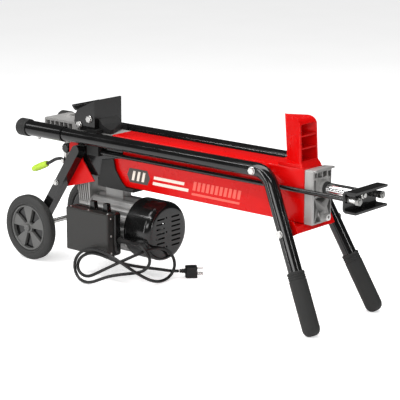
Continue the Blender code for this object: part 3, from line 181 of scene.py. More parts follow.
def surface(name, colour, roughness, metallic=0.0, mottle=0.12, grain=900.0, relief=0.15, depth=0.0002,
            wear=0.0, bare=(0.35, 0.34, 0.33), specular=0.5, stretch=None, rough_change=0.05):
    """A finish with broad colour change, fine relief, uneven gloss, and rubbed edges."""
    graph = Graph(name)
    broad = graph.noise(16.0, 4.0)
    fine = graph.noise(grain, 3.0, stretch)
    shade = graph.maths("ADD", graph.maths("MULTIPLY", broad, 0.65), graph.maths("MULTIPLY", fine, 0.35))
    share = graph.remap(shade, 0.35, 0.65)
    base = graph.blend(share, tone(colour, 1.0 - mottle), tone(colour, 1.0 + mottle))
    if wear:
        scuffs = graph.remap(graph.noise(120.0, 5.0), 0.42, 0.62)
        rubbed = graph.maths("MULTIPLY", graph.edges(0.0009), graph.maths("MULTIPLY", scuffs, wear))
        base = graph.blend(rubbed, base, (*bare, 1.0))
    graph.join(base, graph.shader.inputs["Base Color"])
    gloss = graph.remap(broad, 0.3, 0.7, roughness - rough_change, roughness + rough_change)
    graph.join(gloss, graph.shader.inputs["Roughness"])
    graph.shader.inputs["Metallic"].default_value = metallic
    graph.shader.inputs["Specular IOR Level"].default_value = specular
    graph.bump(fine, relief, depth)
    return graph.material


FINISH = {
    "red_paint": surface("red_paint", (0.60, 0.0004, 0.0004), 0.28, mottle=0.05, grain=500.0, relief=0.10,
                         wear=0.35, bare=(0.75, 0.16, 0.13), specular=0.22),
    "black_paint": surface("black_paint", (0.005, 0.005, 0.005), 0.13, mottle=0.2, grain=420.0, relief=0.10,
                           wear=0.25, bare=(0.05, 0.05, 0.05), specular=0.5),
    "dark_paint": surface("dark_paint", (0.012, 0.012, 0.0118), 0.46, grain=650.0, relief=0.2, wear=0.3,
                          bare=(0.05, 0.05, 0.049), specular=0.3),
    "rubber": surface("rubber", (0.017, 0.017, 0.0165), 0.62, grain=1400.0, relief=0.3, wear=0.3,
                      bare=(0.06, 0.06, 0.058), specular=0.35),
    "tyre_rubber": surface("tyre_rubber", (0.028, 0.028, 0.027), 0.66, grain=1100.0, relief=0.35, wear=0.35,
                           bare=(0.10, 0.10, 0.098), specular=0.4),
    "hub_plastic": surface("hub_plastic", (0.095, 0.095, 0.092), 0.48, grain=1500.0, relief=0.2, wear=0.25,
                           bare=(0.26, 0.26, 0.255)),
    "box_plastic": surface("box_plastic", (0.016, 0.0153, 0.014), 0.42, grain=1700.0, relief=0.35, wear=0.4,
                           bare=(0.09, 0.09, 0.085), specular=0.4),
    "gloss_plastic": surface("gloss_plastic", (0.005, 0.005, 0.005), 0.16, grain=900.0, relief=0.12,
                             wear=0.25, bare=(0.05, 0.05, 0.05)),
    "cast_aluminium": surface("cast_aluminium", (0.36, 0.354, 0.345), 0.46, metallic=0.35, grain=1300.0,
                              relief=0.5, depth=0.0003, wear=0.5, bare=(0.72, 0.71, 0.70)),
    "motor_aluminium": surface("motor_aluminium", (0.33, 0.325, 0.32), 0.36, metallic=0.5, grain=900.0,
                               relief=0.4, depth=0.0003, wear=0.5, bare=(0.70, 0.69, 0.68)),
    "zinc_steel": surface("zinc_steel", (0.62, 0.615, 0.60), 0.27, metallic=0.85, grain=700.0, relief=0.25,
                          wear=0.5, bare=(0.85, 0.85, 0.84)),
    "chrome": surface("chrome", (0.78, 0.78, 0.78), 0.13, metallic=1.0, mottle=0.04, grain=300.0,
                      relief=0.05, stretch=(40.0, 1.0, 1.0), rough_change=0.03),
    "steel": surface("steel", (0.36, 0.36, 0.35), 0.38, metallic=1.0, grain=800.0, relief=0.2),
    "lime_plastic": surface("lime_plastic", (0.42, 0.62, 0.035), 0.42, mottle=0.08, grain=1300.0,
                            relief=0.25, wear=0.25, bare=(0.62, 0.78, 0.20)),
    "green_plastic": surface("green_plastic", (0.02, 0.30, 0.06), 0.40, mottle=0.08, grain=900.0,
                             relief=0.15, wear=0.3, bare=(0.15, 0.5, 0.2)),
    "cable": surface("cable", (0.006, 0.006, 0.006), 0.38, grain=1500.0, relief=0.2, wear=0.2,
                     bare=(0.03, 0.03, 0.03), specular=0.4),
    "decal_pale": surface("decal_pale", (0.75, 0.66, 0.58), 0.40, mottle=0.05, grain=900.0, relief=0.08),
    "decal_dark": surface("decal_dark", (0.05, 0.035, 0.03), 0.38, mottle=0.08, grain=900.0, relief=0.08),
    "decal_rose": surface("decal_rose", (0.82, 0.10, 0.07), 0.38, mottle=0.05, grain=900.0, relief=0.08),
}
SLOTS = {node: slot for slot, nodes in {
    "red_paint": ["beam_body", "wedge", "front_leg_bracket", "rear_leg_bracket"],
    "black_paint": ["rail_near", "rail_far", "rear_sleeve_near", "rear_sleeve_far", "rear_yoke",
                    "wheel_leg_near", "wheel_leg_far", "cross_bracket", "tie_rod_near", "tie_rod_far",
                    "pusher_plate", "lever_arm", "oil_plug"],
    "dark_paint": ["motor_saddle", "pusher_carriage"],
    "rubber": ["rear_cap_near", "rear_cap_far", "foot_grip_near", "foot_grip_far", "rod_wiper",
               "piston_seal", "cord_gland"],
    "tyre_rubber": ["tyre_near", "tyre_far"],
    "hub_plastic": ["hub_near", "hub_far"],
    "box_plastic": ["switch_box_cover"],
    "gloss_plastic": ["switch_box_body", "fan_cover", "cooling_fan"],
    "cast_aluminium": ["front_head", "rear_casting", "pump_body"],
    "motor_aluminium": ["motor_housing", "motor_end_bell"],
    "zinc_steel": ["rail_bolt", "leg_bolt", "wheel_leg_bolt", "axle", "lever_bracket", "pusher_bolt_upper",
                   "pusher_bolt_lower"],
    "chrome": ["piston_rod"],
    "steel": ["cylinder_tube", "motor_stator", "bearing_pump_end", "bearing_fan_end", "motor_rotor",
              "drive_gear", "driven_gear", "valve_spool", "piston"],
    "lime_plastic": ["lever_grip"],
    "green_plastic": ["switch_button"],
    "cable": ["power_cord", "plug"],
}.items() for node in nodes}


def dress_cad_nodes():
    for node, piece in frame["nodes"].items():
        piece.data.materials.clear()
        piece.data.materials.append(FINISH[SLOTS[node]])


# ---------------------------------------------------------------- making pieces
SHARP_ANGLE = 32
BEVEL_ANGLE = 32


def add_piece(name, bm, slot, node, finish=None, replaces=True, bevel=0.0, segments=3, angle=BEVEL_ANGLE):
    """Makes a piece from a mesh in beam numbers; it rides with a CAD node, and usually stands for it."""
    bmesh.ops.translate(bm, vec=SHIFT, verts=bm.verts)
    return add_ready(name, bm, slot, node, finish, replaces, bevel, segments, angle)


def add_ready(name, bm, slot, node, finish=None, replaces=True, bevel=0.0, segments=3, angle=BEVEL_ANGLE):
    bmesh.ops.recalc_face_normals(bm, faces=bm.faces)
    data = bpy.data.meshes.new(name)
    bm.to_mesh(data)
    bm.free()
    data.shade_smooth()
    data.set_sharp_from_angle(angle=math.radians(SHARP_ANGLE))
    data.materials.append(FINISH[finish or slot])
    piece = bpy.data.objects.new(name, data)
    bpy.context.scene.collection.objects.link(piece)
    if bevel:
        edge = piece.modifiers.new("Rounded edges", "BEVEL")
        edge.width = bevel
        edge.segments = segments
        edge.limit_method = "ANGLE"
        edge.angle_limit = math.radians(angle)
        edge.harden_normals = True
    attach(piece, frame["nodes"][node]["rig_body"])
    if replaces:
        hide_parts(node)
    return piece


def refined(node, bevel=0.0008, segments=3, angle=BEVEL_ANGLE):
    """A CAD piece with its flat faces joined up again and its edges rounded off."""
    bm = bmesh.new()
    bm.from_mesh(frame["nodes"][node].data)
    bmesh.ops.remove_doubles(bm, verts=bm.verts, dist=0.00002)
    bmesh.ops.dissolve_limit(bm, angle_limit=math.radians(0.8), verts=bm.verts, edges=bm.edges)
    return add_ready(f"{node}_finished", bm, SLOTS[node], node, bevel=bevel, segments=segments, angle=angle)


def merge(*shapes):
    """Several meshes in one."""
    whole = bmesh.new()
    for shape in shapes:
        data = bpy.data.meshes.new("part")
        shape.to_mesh(data)
        shape.free()
        whole.from_mesh(data)
        bpy.data.meshes.remove(data)
    return whole


def block(low, high):
    shape = bmesh.new()
    bmesh.ops.create_cube(shape, size=1.0)
    bmesh.ops.scale(shape, vec=Vector(high) - Vector(low), verts=shape.verts)
    bmesh.ops.translate(shape, vec=(Vector(high) + Vector(low)) / 2, verts=shape.verts)
    return shape


def prism(outline, axis, low, high):
    """A flat outline pushed along an axis.  Outlines are (x, z) for Y, (y, z) for X, (x, y) for Z."""
    def point(a, b, along):
        return {"X": (along, a, b), "Y": (a, along, b), "Z": (a, b, along)}[axis]

    shape = bmesh.new()
    ends = [[shape.verts.new(point(a, b, along)) for a, b in outline] for along in (low, high)]
    shape.faces.new(ends[0])
    shape.faces.new(ends[1])
    for i in range(len(outline)):
        j = (i + 1) % len(outline)
        shape.faces.new((ends[0][i], ends[0][j], ends[1][j], ends[1][i]))
    bmesh.ops.recalc_face_normals(shape, faces=shape.faces)
    return shape


def turned(profile, centre, axis, steps=64, phase=0.0):
    """A closed (along, radius) profile turned about an axis through centre."""
    named = {"X": (1, 0, 0), "Y": (0, 1, 0), "Z": (0, 0, 1)}
    direction = Vector(named[axis] if isinstance(axis, str) else axis).normalized()
    side = direction.orthogonal().normalized()
    up = direction.cross(side)
    centre = Vector(centre)
    shape = bmesh.new()
    rings = []
    for along, radius in profile:
        base = centre + direction * along
        if radius < 1e-7:
            rings.append([shape.verts.new(base)])
            continue
        turns = [2 * math.pi * (k + phase) / steps for k in range(steps)]
        spokes = [(side * math.cos(t) + up * math.sin(t)) * radius for t in turns]
        rings.append([shape.verts.new(base + spoke) for spoke in spokes])
    for first, second in zip(rings, rings[1:] + rings[:1]):
        if len(first) == 1 and len(second) == 1:
            continue
        for k in range(steps):
            n = (k + 1) % steps
            corners = [first[k % len(first)], first[n % len(first)],
                       second[n % len(second)], second[k % len(second)]]
            unique = []
            for corner in corners:
                if corner not in unique:
                    unique.append(corner)
            shape.faces.new(unique)
    bmesh.ops.recalc_face_normals(shape, faces=shape.faces)
    return shape


def sweep(path, ring):
    """A closed ring of (across, up) points carried along a path in a plane near Y = constant."""
    shape = bmesh.new()
    path = [Vector(p) for p in path]
    loops = []
    for i, point in enumerate(path):
        before = (point - path[i - 1]).normalized() if i else (path[1] - point).normalized()
        after = (path[i + 1] - point).normalized() if i + 1 < len(path) else before
        along = (before + after).normalized()
        across = (Vector((0, 1, 0)) - along * along.y).normalized()
        up = along.cross(across)
        loops.append([shape.verts.new(point + across * a + up * b) for a, b in ring])
    count = len(ring)
    for first, second in zip(loops, loops[1:]):
        for k in range(count):
            n = (k + 1) % count
            shape.faces.new((first[k], first[n], second[n], second[k]))
    shape.faces.new(loops[0])
    shape.faces.new(loops[-1])
    bmesh.ops.recalc_face_normals(shape, faces=shape.faces)
    return shape


def circle(radius, steps=40):
    turns = [2 * math.pi * k / steps for k in range(steps)]
    return [(radius * math.cos(t), radius * math.sin(t)) for t in turns]


def arc(centre, radius, start, end, steps):
    angles = [math.radians(start + (end - start) * k / steps) for k in range(steps + 1)]
    return [(centre[0] + radius * math.cos(a), centre[1] + radius * math.sin(a)) for a in angles]


def bend(start, corner, end, radius, steps=20):
    start, corner, end = Vector(start), Vector(corner), Vector(end)
    towards_start = (start - corner).normalized()
    towards_end = (end - corner).normalized()
    half = towards_start.angle(towards_end) / 2
    setback = radius / math.tan(half)
    centre = corner + (towards_start + towards_end).normalized() * (radius / math.sin(half))
    first = (corner + towards_start * setback - centre).normalized()
    last = (corner + towards_end * setback - centre).normalized()
    turn = [centre + first.slerp(last, k / steps) * radius for k in range(steps + 1)]
    return [start] + turn + [end]


def leg_point(z, sign=1):
    share = (RAIL_Z - z) / RAIL_Z
    point = LEG_CORNER.lerp(LEG_FOOT, share)
    return Vector((point.x, sign * point.y, point.z))


# ---------------------------------------------------------------- power cord
CORD_RADIUS = 0.0035
CORD_START = (-0.1313, -0.0835, 0.0960)
CORD_ROUTE = [
    CORD_START, (-0.1100, -0.0850, 0.0962), (-0.0850, -0.0890, 0.0920),
    (-0.0715, -0.0820, 0.0700), (-0.0735, -0.0850, 0.0530), (-0.0860, -0.0920, 0.0390),
    (-0.0990, -0.1100, 0.0370),
    (-0.1350, -0.1430, 0.0330), (-0.1660, -0.1500, 0.0180), (-0.1990, -0.1520, 0.0032),
    (-0.2310, -0.1500, 0.0070),
    (-0.2480, -0.1460, 0.0270), (-0.2510, -0.1400, 0.0480), (-0.2380, -0.1350, 0.0680),
    (-0.2070, -0.1320, 0.0800),
    (-0.1680, -0.1330, 0.0800), (-0.1300, -0.1380, 0.0730), (-0.0840, -0.1200, 0.0450),
    (-0.0780, -0.0900, 0.0240),
    (-0.0860, -0.0460, 0.0034), (-0.0870, -0.0060, 0.0032), (-0.0830, 0.0110, 0.0240),
    (-0.0820, 0.0090, 0.0470),
    (-0.0840, -0.0040, 0.0670), (-0.0870, -0.0280, 0.0810), (-0.0870, -0.0570, 0.0850),
    (-0.0890, -0.0870, 0.0840),
    (-0.1170, -0.1290, 0.0650), (-0.1790, -0.1420, 0.0300), (-0.2090, -0.1420, 0.0130),
    (-0.2370, -0.1400, 0.0170),
    (-0.2500, -0.1360, 0.0340), (-0.2410, -0.1310, 0.0550), (-0.2150, -0.1270, 0.0680),
    (-0.1820, -0.1260, 0.0690),
    (-0.1190, -0.1240, 0.0570), (-0.0890, -0.0750, 0.0440), (-0.0900, -0.0250, 0.0290),
    (-0.0920, 0.0100, 0.0170), (-0.0860, 0.0260, 0.0150)]


def along_route(points, pieces=8):
    """Points of the smooth cubic curve that the route points draw."""
    route = [Vector(p) + SHIFT for p in points]
    route = [route[0] * 2 - route[1]] + route + [route[-1] * 2 - route[-2]]
    fine = []
    for a, b, c, d in zip(route, route[1:], route[2:], route[3:]):
        for k in range(pieces):
            t = k / pieces
            fine.append((a * (1 - t) ** 3 + b * (3 * t ** 3 - 6 * t * t + 4)
                         + c * (-3 * t ** 3 + 3 * t * t + 3 * t + 1) + d * t ** 3) / 6)
    return fine + [route[-2]]


def build_cord():
    """The mains lead in its loose figure of eight, with its moulded plug."""
    points = along_route(CORD_ROUTE)
    curve = bpy.data.curves.new("mains_lead", "CURVE")
    curve.dimensions = "3D"
    curve.bevel_depth = CORD_RADIUS
    curve.bevel_resolution = 6
    curve.use_fill_caps = True
    line = curve.splines.new("POLY")
    line.points.add(len(points) - 1)
    for spot, point in zip(line.points, points):
        spot.co = (*point, 1.0)
    line.use_smooth = True
    curve.materials.append(FINISH["cable"])
    lead = bpy.data.objects.new("mains_lead", curve)
    bpy.context.scene.collection.objects.link(lead)
    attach(lead, frame["nodes"]["power_cord"]["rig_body"])
    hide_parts("power_cord")
    plug = build_plug()


PLUG_START = Vector((-0.0842, 0.0278, 0.0150))
PLUG_HEADING = math.radians(45.0)


def build_plug():
    """The moulded plug: a ribbed grip, a relief cone and three pins."""
    height = PLUG_START.z - 0.0005
    relief = [(0, 0), (0, 0.0042), (0.0030, 0.0045), (0.0036, 0.0040), (0.0052, 0.0041), (0.0058, 0.0050),
              (0.0088, 0.0053), (0.0094, 0.0046), (0.0110, 0.0047), (0.0116, 0.0058), (0.0165, 0.0058),
              (0.0165, 0)]
    body = [(0.0130, -0.0075), (0.0170, -0.0125), (0.0400, -0.0125), (0.0400, 0.0125), (0.0170, 0.0125),
            (0.0130, 0.0075)]
    shapes = [prism(body, "Z", -height, 0.0105)]
    for k in range(5):
        x = 0.0200 + 0.0032 * k
        for sign in (-1, 1):
            shapes.append(block((x, sign * 0.0125 - 0.0004, -0.0100),
                                (x + 0.0016, sign * 0.0125 + 0.0004, 0.0065)))
    shapes.append(turned(relief, (0, 0, 0), "X", 32))
    plug = merge(*shapes)
    place = Matrix.Translation(PLUG_START) @ Matrix.Rotation(PLUG_HEADING, 4, "Z")
    bmesh.ops.transform(plug, matrix=place, verts=plug.verts)
    piece = add_piece("plug_body", plug, "cable", "plug", bevel=0.0016, segments=3, angle=50)
    pins = []
    for y, z in ((-0.0065, -0.0065), (0.0065, -0.0065), (0.0, 0.0060)):
        pins.append(turned([(0.0, 0), (0.0, 0.0020), (0.0150, 0.0020), (0.0160, 0.0012), (0.0160, 0)],
                           (0.0380, y, z), "X", 20))
    pins = merge(*pins)
    bmesh.ops.transform(pins, matrix=place, verts=pins.verts)
    add_piece("plug_pins", pins, "zinc_steel", "plug", replaces=False)
    return piece


# ---------------------------------------------------------------- stage
SKY_STRENGTH = 0.36
SKY_IN_REFLECTIONS = 0.05
SKY_SEEN = 1.1
FLOOR_GLOW = 0.50
LAMPS = (("overhead", (-0.2, 0.1, 2.2), (0.0, 0.0, 0.2), 3.0, 1.0, 46.0),
         ("strip_over", (0.0, -1.3, 1.9), (0.0, 0.0, 0.25), 3.4, 0.10, 22.0),
         ("front", (1.1, -3.2, 1.5), (0.0, 0.0, 0.2), 2.2, 0.8, 30.0),
         ("strip_left", (-1.0, -2.3, 0.9), (0.1, 0.0, 0.2), 0.12, 1.7, 14.0),
         ("strip_right", (2.6, 0.1, 0.9), (0.2, 0.0, 0.2), 0.14, 1.7, 14.0),
         ("left", (-2.4, -1.0, 1.3), (0.0, 0.0, 0.2), 0.7, 1.2, 8.0))


def build_stage():
    """A plain pale floor, a white surround and large soft lights."""
    data = bpy.data.meshes.new("studio_floor")
    reach = 9
    corners = [(-reach, -reach, 0), (reach, -reach, 0), (reach, reach, 0), (-reach, reach, 0)]
    data.from_pydata(corners, [], [(0, 1, 2, 3)])
    graph = Graph("studio_floor")
    share = graph.remap(graph.noise(3.0, 3.0), 0.3, 0.7)
    graph.join(graph.blend(share, (0.90, 0.90, 0.90, 1.0), (0.93, 0.93, 0.93, 1.0)),
               graph.shader.inputs["Base Color"])
    graph.shader.inputs["Roughness"].default_value = 0.85
    graph.shader.inputs["Specular IOR Level"].default_value = 0.1
    graph.shader.inputs["Emission Color"].default_value = (1.0, 1.0, 1.0, 1.0)
    seen = graph.material.node_tree.nodes.new("ShaderNodeLightPath")
    glow = graph.material.node_tree.nodes.new("ShaderNodeMix")
    glow.inputs["A"].default_value = 0.0
    glow.inputs["B"].default_value = FLOOR_GLOW
    graph.join(seen.outputs["Is Camera Ray"], glow.inputs["Factor"])
    graph.join(glow.outputs["Result"], graph.shader.inputs["Emission Strength"])
    data.materials.append(graph.material)
    floor = bpy.data.objects.new("studio_floor", data)
    bpy.context.scene.collection.objects.link(floor)
    world = bpy.data.worlds.new("studio")
    world.use_nodes = True
    tree = world.node_tree
    sky = tree.nodes["Background"]
    sky.inputs["Color"].default_value = (1.0, 1.0, 1.0, 1.0)
    path = tree.nodes.new("ShaderNodeLightPath")
    strength = tree.nodes.new("ShaderNodeMix")
    strength.inputs["A"].default_value = SKY_STRENGTH
    strength.inputs["B"].default_value = SKY_IN_REFLECTIONS
    tree.links.new(path.outputs["Is Glossy Ray"], strength.inputs["Factor"])
    visible = tree.nodes.new("ShaderNodeMix")
    tree.links.new(path.outputs["Is Camera Ray"], visible.inputs["Factor"])
    tree.links.new(strength.outputs["Result"], visible.inputs["A"])
    visible.inputs["B"].default_value = SKY_SEEN
    tree.links.new(visible.outputs["Result"], sky.inputs["Strength"])
    bpy.context.scene.world = world
    for name, place, target, width, height, power in LAMPS:
        lamp = bpy.data.lights.new(name, "AREA")
        lamp.shape = "RECTANGLE"
        lamp.size = width
        lamp.size_y = height
        lamp.energy = power
        holder = bpy.data.objects.new(name, lamp)
        bpy.context.scene.collection.objects.link(holder)
        holder.location = place
        holder.rotation_euler = (Vector(target) - Vector(place)).to_track_quat("-Z", "Y").to_euler()
    bpy.context.scene.view_settings.view_transform = "Standard"


# ---------------------------------------------------------------- rails, legs and feet
def build_rail(side, sign):
    path = bend((-0.4862, sign * RAIL_Y, RAIL_Z), (LEG_CORNER.x, sign * RAIL_Y, RAIL_Z),
                leg_point(0.024, sign), 0.050)
    add_piece(f"rail_{side}_tube", sweep(path, circle(RAIL_RADIUS)), "black_paint", f"rail_{side}")
    rim = 0.0178
    sleeve = [(0.0, RAIL_RADIUS), (0.0, rim - 0.0008), (0.0008, rim), (0.1125, rim), (0.1130, rim - 0.0006),
              (0.1138, rim - 0.0006), (0.1142, rim), (0.1156, rim), (0.1160, rim - 0.0006),
              (0.1160, RAIL_RADIUS)]
    add_piece(f"rear_sleeve_{side}_tube", turned(sleeve, (-0.4680, sign * RAIL_Y, RAIL_Z), "X"),
              "black_paint", f"rear_sleeve_{side}")
    radius = 0.0205
    cap = [(0, 0), (0.0004, 0.0110), (0.0006, 0.0150), (0.0020, 0.0186), (0.0050, radius), (0.0240, radius),
           (0.0248, radius - 0.0007), (0.0256, radius - 0.0007), (0.0264, radius), (0.0312, radius),
           (0.0322, radius - 0.0010), (0.0322, RAIL_RADIUS + GAP), (0.0140, RAIL_RADIUS + GAP), (0.0140, 0)]
    add_piece(f"rear_cap_{side}_moulding", turned(cap, (-0.5005, sign * RAIL_Y, RAIL_Z), "X"), "rubber",
              f"rear_cap_{side}")


def build_foot_grip(side, sign):
    """A ribbed rubber grip, domed at its end and cut flat where it meets the floor."""
    foot = leg_point(0.0, sign)
    along = (leg_point(0.1, sign) - foot).normalized()
    bottom = foot + along * 0.0035
    radius = 0.0185
    dome = [(radius * 0.85 * (1 - math.cos(t)), radius * (0.30 + 0.70 * math.sin(t)))
            for t in (math.radians(a) for a in range(0, 91, 10))]
    profile = [(0, 0)] + dome
    for k in range(3):
        start = 0.1160 + 0.0050 * k
        profile += [(start, radius), (start + 0.0005, radius - 0.0009), (start + 0.0022, radius - 0.0009),
                    (start + 0.0027, radius)]
    profile += [(0.1325, radius), (0.1336, radius - 0.0008), (0.1340, radius - 0.0018),
                (0.1340, RAIL_RADIUS), (0.0300, 0)]
    grip = turned(profile, bottom, along)
    low = -SHIFT.z
    for vert in grip.verts:
        vert.co.z = max(vert.co.z, low)
    add_piece(f"foot_grip_{side}_moulding", grip, "rubber", f"foot_grip_{side}")


def hex_head(x, y, z, radius, height, sign, flange=0.0):
    """A chamfered hexagon head on a washer, facing outwards along Y."""
    washer = turned([(0, 0), (0, radius + flange), (0.0010, radius + flange), (0.0012, radius),
                     (0.0012, 0)], (x, y, z), (0, sign, 0), 40)
    head = turned([(0.0012, 0), (0.0012, radius * 0.97), (height - 0.0008, radius * 0.97),
                   (height, radius * 0.84), (height, 0)], (x, y, z), (0, sign, 0), 6, 0.25)
    return [washer, head]


def build_through_bolts():
    lean = leg_point(LEG_BOLT_Z).y + RAIL_RADIUS + 0.0018
    bolts = (("rail_bolt", 0.2130, RAIL_Z, RAIL_Y + RAIL_RADIUS + GAP, 0.0085, 0.0040),
             ("leg_bolt", leg_point(LEG_BOLT_Z).x, LEG_BOLT_Z, lean, 0.0080, 0.0040),
             ("wheel_leg_bolt", -0.3790, 0.1940, 0.0710, 0.0070, 0.0032),
             ("pusher_bolt_upper", -0.2935, 0.3500, 0.0445, 0.0088, 0.0040),
             ("pusher_bolt_lower", -0.3265, 0.3335, 0.0445, 0.0088, 0.0040))
    for node, x, z, span, radius, shank in bolts:
        shapes = [turned([(-span, 0), (-span, shank), (span, shank), (span, 0)], (x, 0, z), "Y", 32)]
        for sign in (-1, 1):
            shapes += hex_head(x, sign * span, z, radius - 0.0004, 0.0054, sign, 0.0004)
        add_piece(f"{node}_hardware", merge(*shapes), "zinc_steel", node, bevel=0.0005, segments=2)


def carve(piece, *shapes):
    """Cuts shapes out of a piece, and keeps only the result."""
    tools = []
    for shape in shapes:
        bmesh.ops.translate(shape, vec=SHIFT, verts=shape.verts)
        bmesh.ops.recalc_face_normals(shape, faces=shape.faces)
        data = bpy.data.meshes.new("tool")
        shape.to_mesh(data)
        shape.free()
        tool = bpy.data.objects.new("tool", data)
        bpy.context.scene.collection.objects.link(tool)
        tools.append(tool)
        change = piece.modifiers.new("Cut", "BOOLEAN")
        change.operation = "DIFFERENCE"
        change.object = tool
        piece.modifiers.move(len(piece.modifiers) - 1, len(tools) - 1)
    rounding = [m for m in piece.modifiers if m.type == "BEVEL"]
    for modifier in rounding:
        modifier.show_viewport = False
    bpy.context.view_layer.update()
    evaluated = piece.evaluated_get(bpy.context.evaluated_depsgraph_get())
    data = bpy.data.meshes.new_from_object(evaluated)
    for modifier in [m for m in piece.modifiers if m.type == "BOOLEAN"]:
        piece.modifiers.remove(modifier)
    piece.data = data
    for modifier in rounding:
        modifier.show_viewport = True
    for tool in tools:
        bpy.data.objects.remove(tool, do_unlink=True)
    return piece


def bead(points, radius=0.0021, pitch=0.0024):
    """A hand-laid weld: overlapping ripples along a line."""
    shapes = []
    for start, end in zip(points, points[1:]):
        start, end = Vector(start), Vector(end)
        count = max(1, round((end - start).length / pitch))
        for k in range(count):
            ripple = bmesh.new()
            bmesh.ops.create_icosphere(ripple, subdivisions=2,
                                       radius=radius * (1.0 + 0.16 * math.sin(k * 2.3)))
            bmesh.ops.translate(ripple, vec=start.lerp(end, k / count), verts=ripple.verts)
            shapes.append(ripple)
    return merge(*shapes)


# ---------------------------------------------------------------- beam, wedge and head
def slanted(x, z, width, height, lean):
    return [(x, z), (x + width, z), (x + width + lean, z + height), (x + lean, z + height)]


def build_beam_details():
    refined("beam_body", 0.0008)
    side = -BEAM_HALF_WIDTH
    front = side - 0.00025
    badge = [(-0.1800, 0.2520), (-0.1260, 0.2520), (-0.1180, 0.2355), (-0.1260, 0.2190), (-0.1800, 0.2190),
             (-0.1880, 0.2355)]
    add_piece("badge_ground", prism(badge, "Y", front, side), "red_paint", "beam_body", "decal_dark", False)
    pale = [prism(slanted(-0.1740 + 0.0150 * k, 0.2245, 0.0075, 0.0220, 0.0055), "Y", front - 0.0002, front)
            for k in range(3)]
    pale.append(prism(slanted(-0.1100, 0.2230, 0.1050, 0.0070, 0.0017), "Y", front, side))
    pale.append(prism(slanted(-0.1070, 0.2360, 0.0900, 0.0070, 0.0017), "Y", front, side))
    add_piece("stripes_pale", merge(*pale), "red_paint", "beam_body", "decal_pale", False)
    rose = [prism(slanted(0.0080 + 0.0125 * k, 0.2290, 0.0080, 0.0200, 0.0045), "Y", front, side)
            for k in range(11)]
    rose.append(prism(slanted(0.0050, 0.2180, 0.1350, 0.0050, 0.0011), "Y", front, side))
    add_piece("stripes_rose", merge(*rose), "red_paint", "beam_body", "decal_rose", False)


def build_wedge_details():
    refined("wedge", 0.0010, 4)
    base = 0.3210
    ring = [(0.2425, -0.0010, base), (0.2950, -0.0295, base), (0.3070, -0.0300, base)]
    far = [(x, -y, z) for x, y, z in ring]
    add_piece("wedge_weld", merge(bead(ring), bead(far)), "red_paint", "wedge", replaces=False)


def build_head_details():
    head = refined("front_head", 0.0006)
    face = 0.334
    boxes = [(0.3035, 0.3130, -0.0275, -0.0195), (0.3020, 0.3135, -0.0165, -0.0035),
             (0.3020, 0.3135, 0.0005, 0.0145), (0.3000, 0.3120, 0.0185, 0.0275),
             (0.2640, 0.2990, -0.0285, -0.0225), (0.2640, 0.2960, 0.0225, 0.0285)]
    cutters = [block((face - 0.0190, y0 + 0.0004, z0 + 0.0004), (face - 0.0085, y1 - 0.0004, z1 - 0.0004))
               for z0, z1, y0, y1 in boxes]
    webs = [[(-0.0275, 0.2590), (-0.0275, 0.2160), (-0.0160, 0.2370)],
            [(0.0275, 0.2590), (0.0275, 0.2160), (0.0160, 0.2370)],
            [(-0.0240, 0.2600), (0.0240, 0.2600), (0.0000, 0.2480)],
            [(-0.0245, 0.2090), (-0.0135, 0.2320), (-0.0030, 0.2090)],
            [(0.0245, 0.2090), (0.0135, 0.2320), (0.0220, 0.2090)]]
    cutters += [prism(outline, "X", face - 0.0190, face - 0.0085) for outline in webs]
    carve(head, *cutters)
    # A near-black sheet in the rubber finish at the bottom of the head's pockets: painted shade for the
    # pocket depths.
    floor = block((face - 0.0188, -0.0290, 0.2080), (face - 0.0184, 0.0290, 0.3150))
    add_piece("head_pocket_painted_shade", floor, "cast_aluminium", "front_head", "rubber", False)
    screw = [(0, 0), (0, 0.0072), (0.0010, 0.0076), (0.0030, 0.0076), (0.0034, 0.0066), (0.0034, 0.0032),
             (0.0005, 0.0026), (0.0005, 0)]
    add_piece("head_screw", turned(screw, (0.3390, 0.0120, 0.2165), "X"), "zinc_steel", "front_head",
              replaces=False)


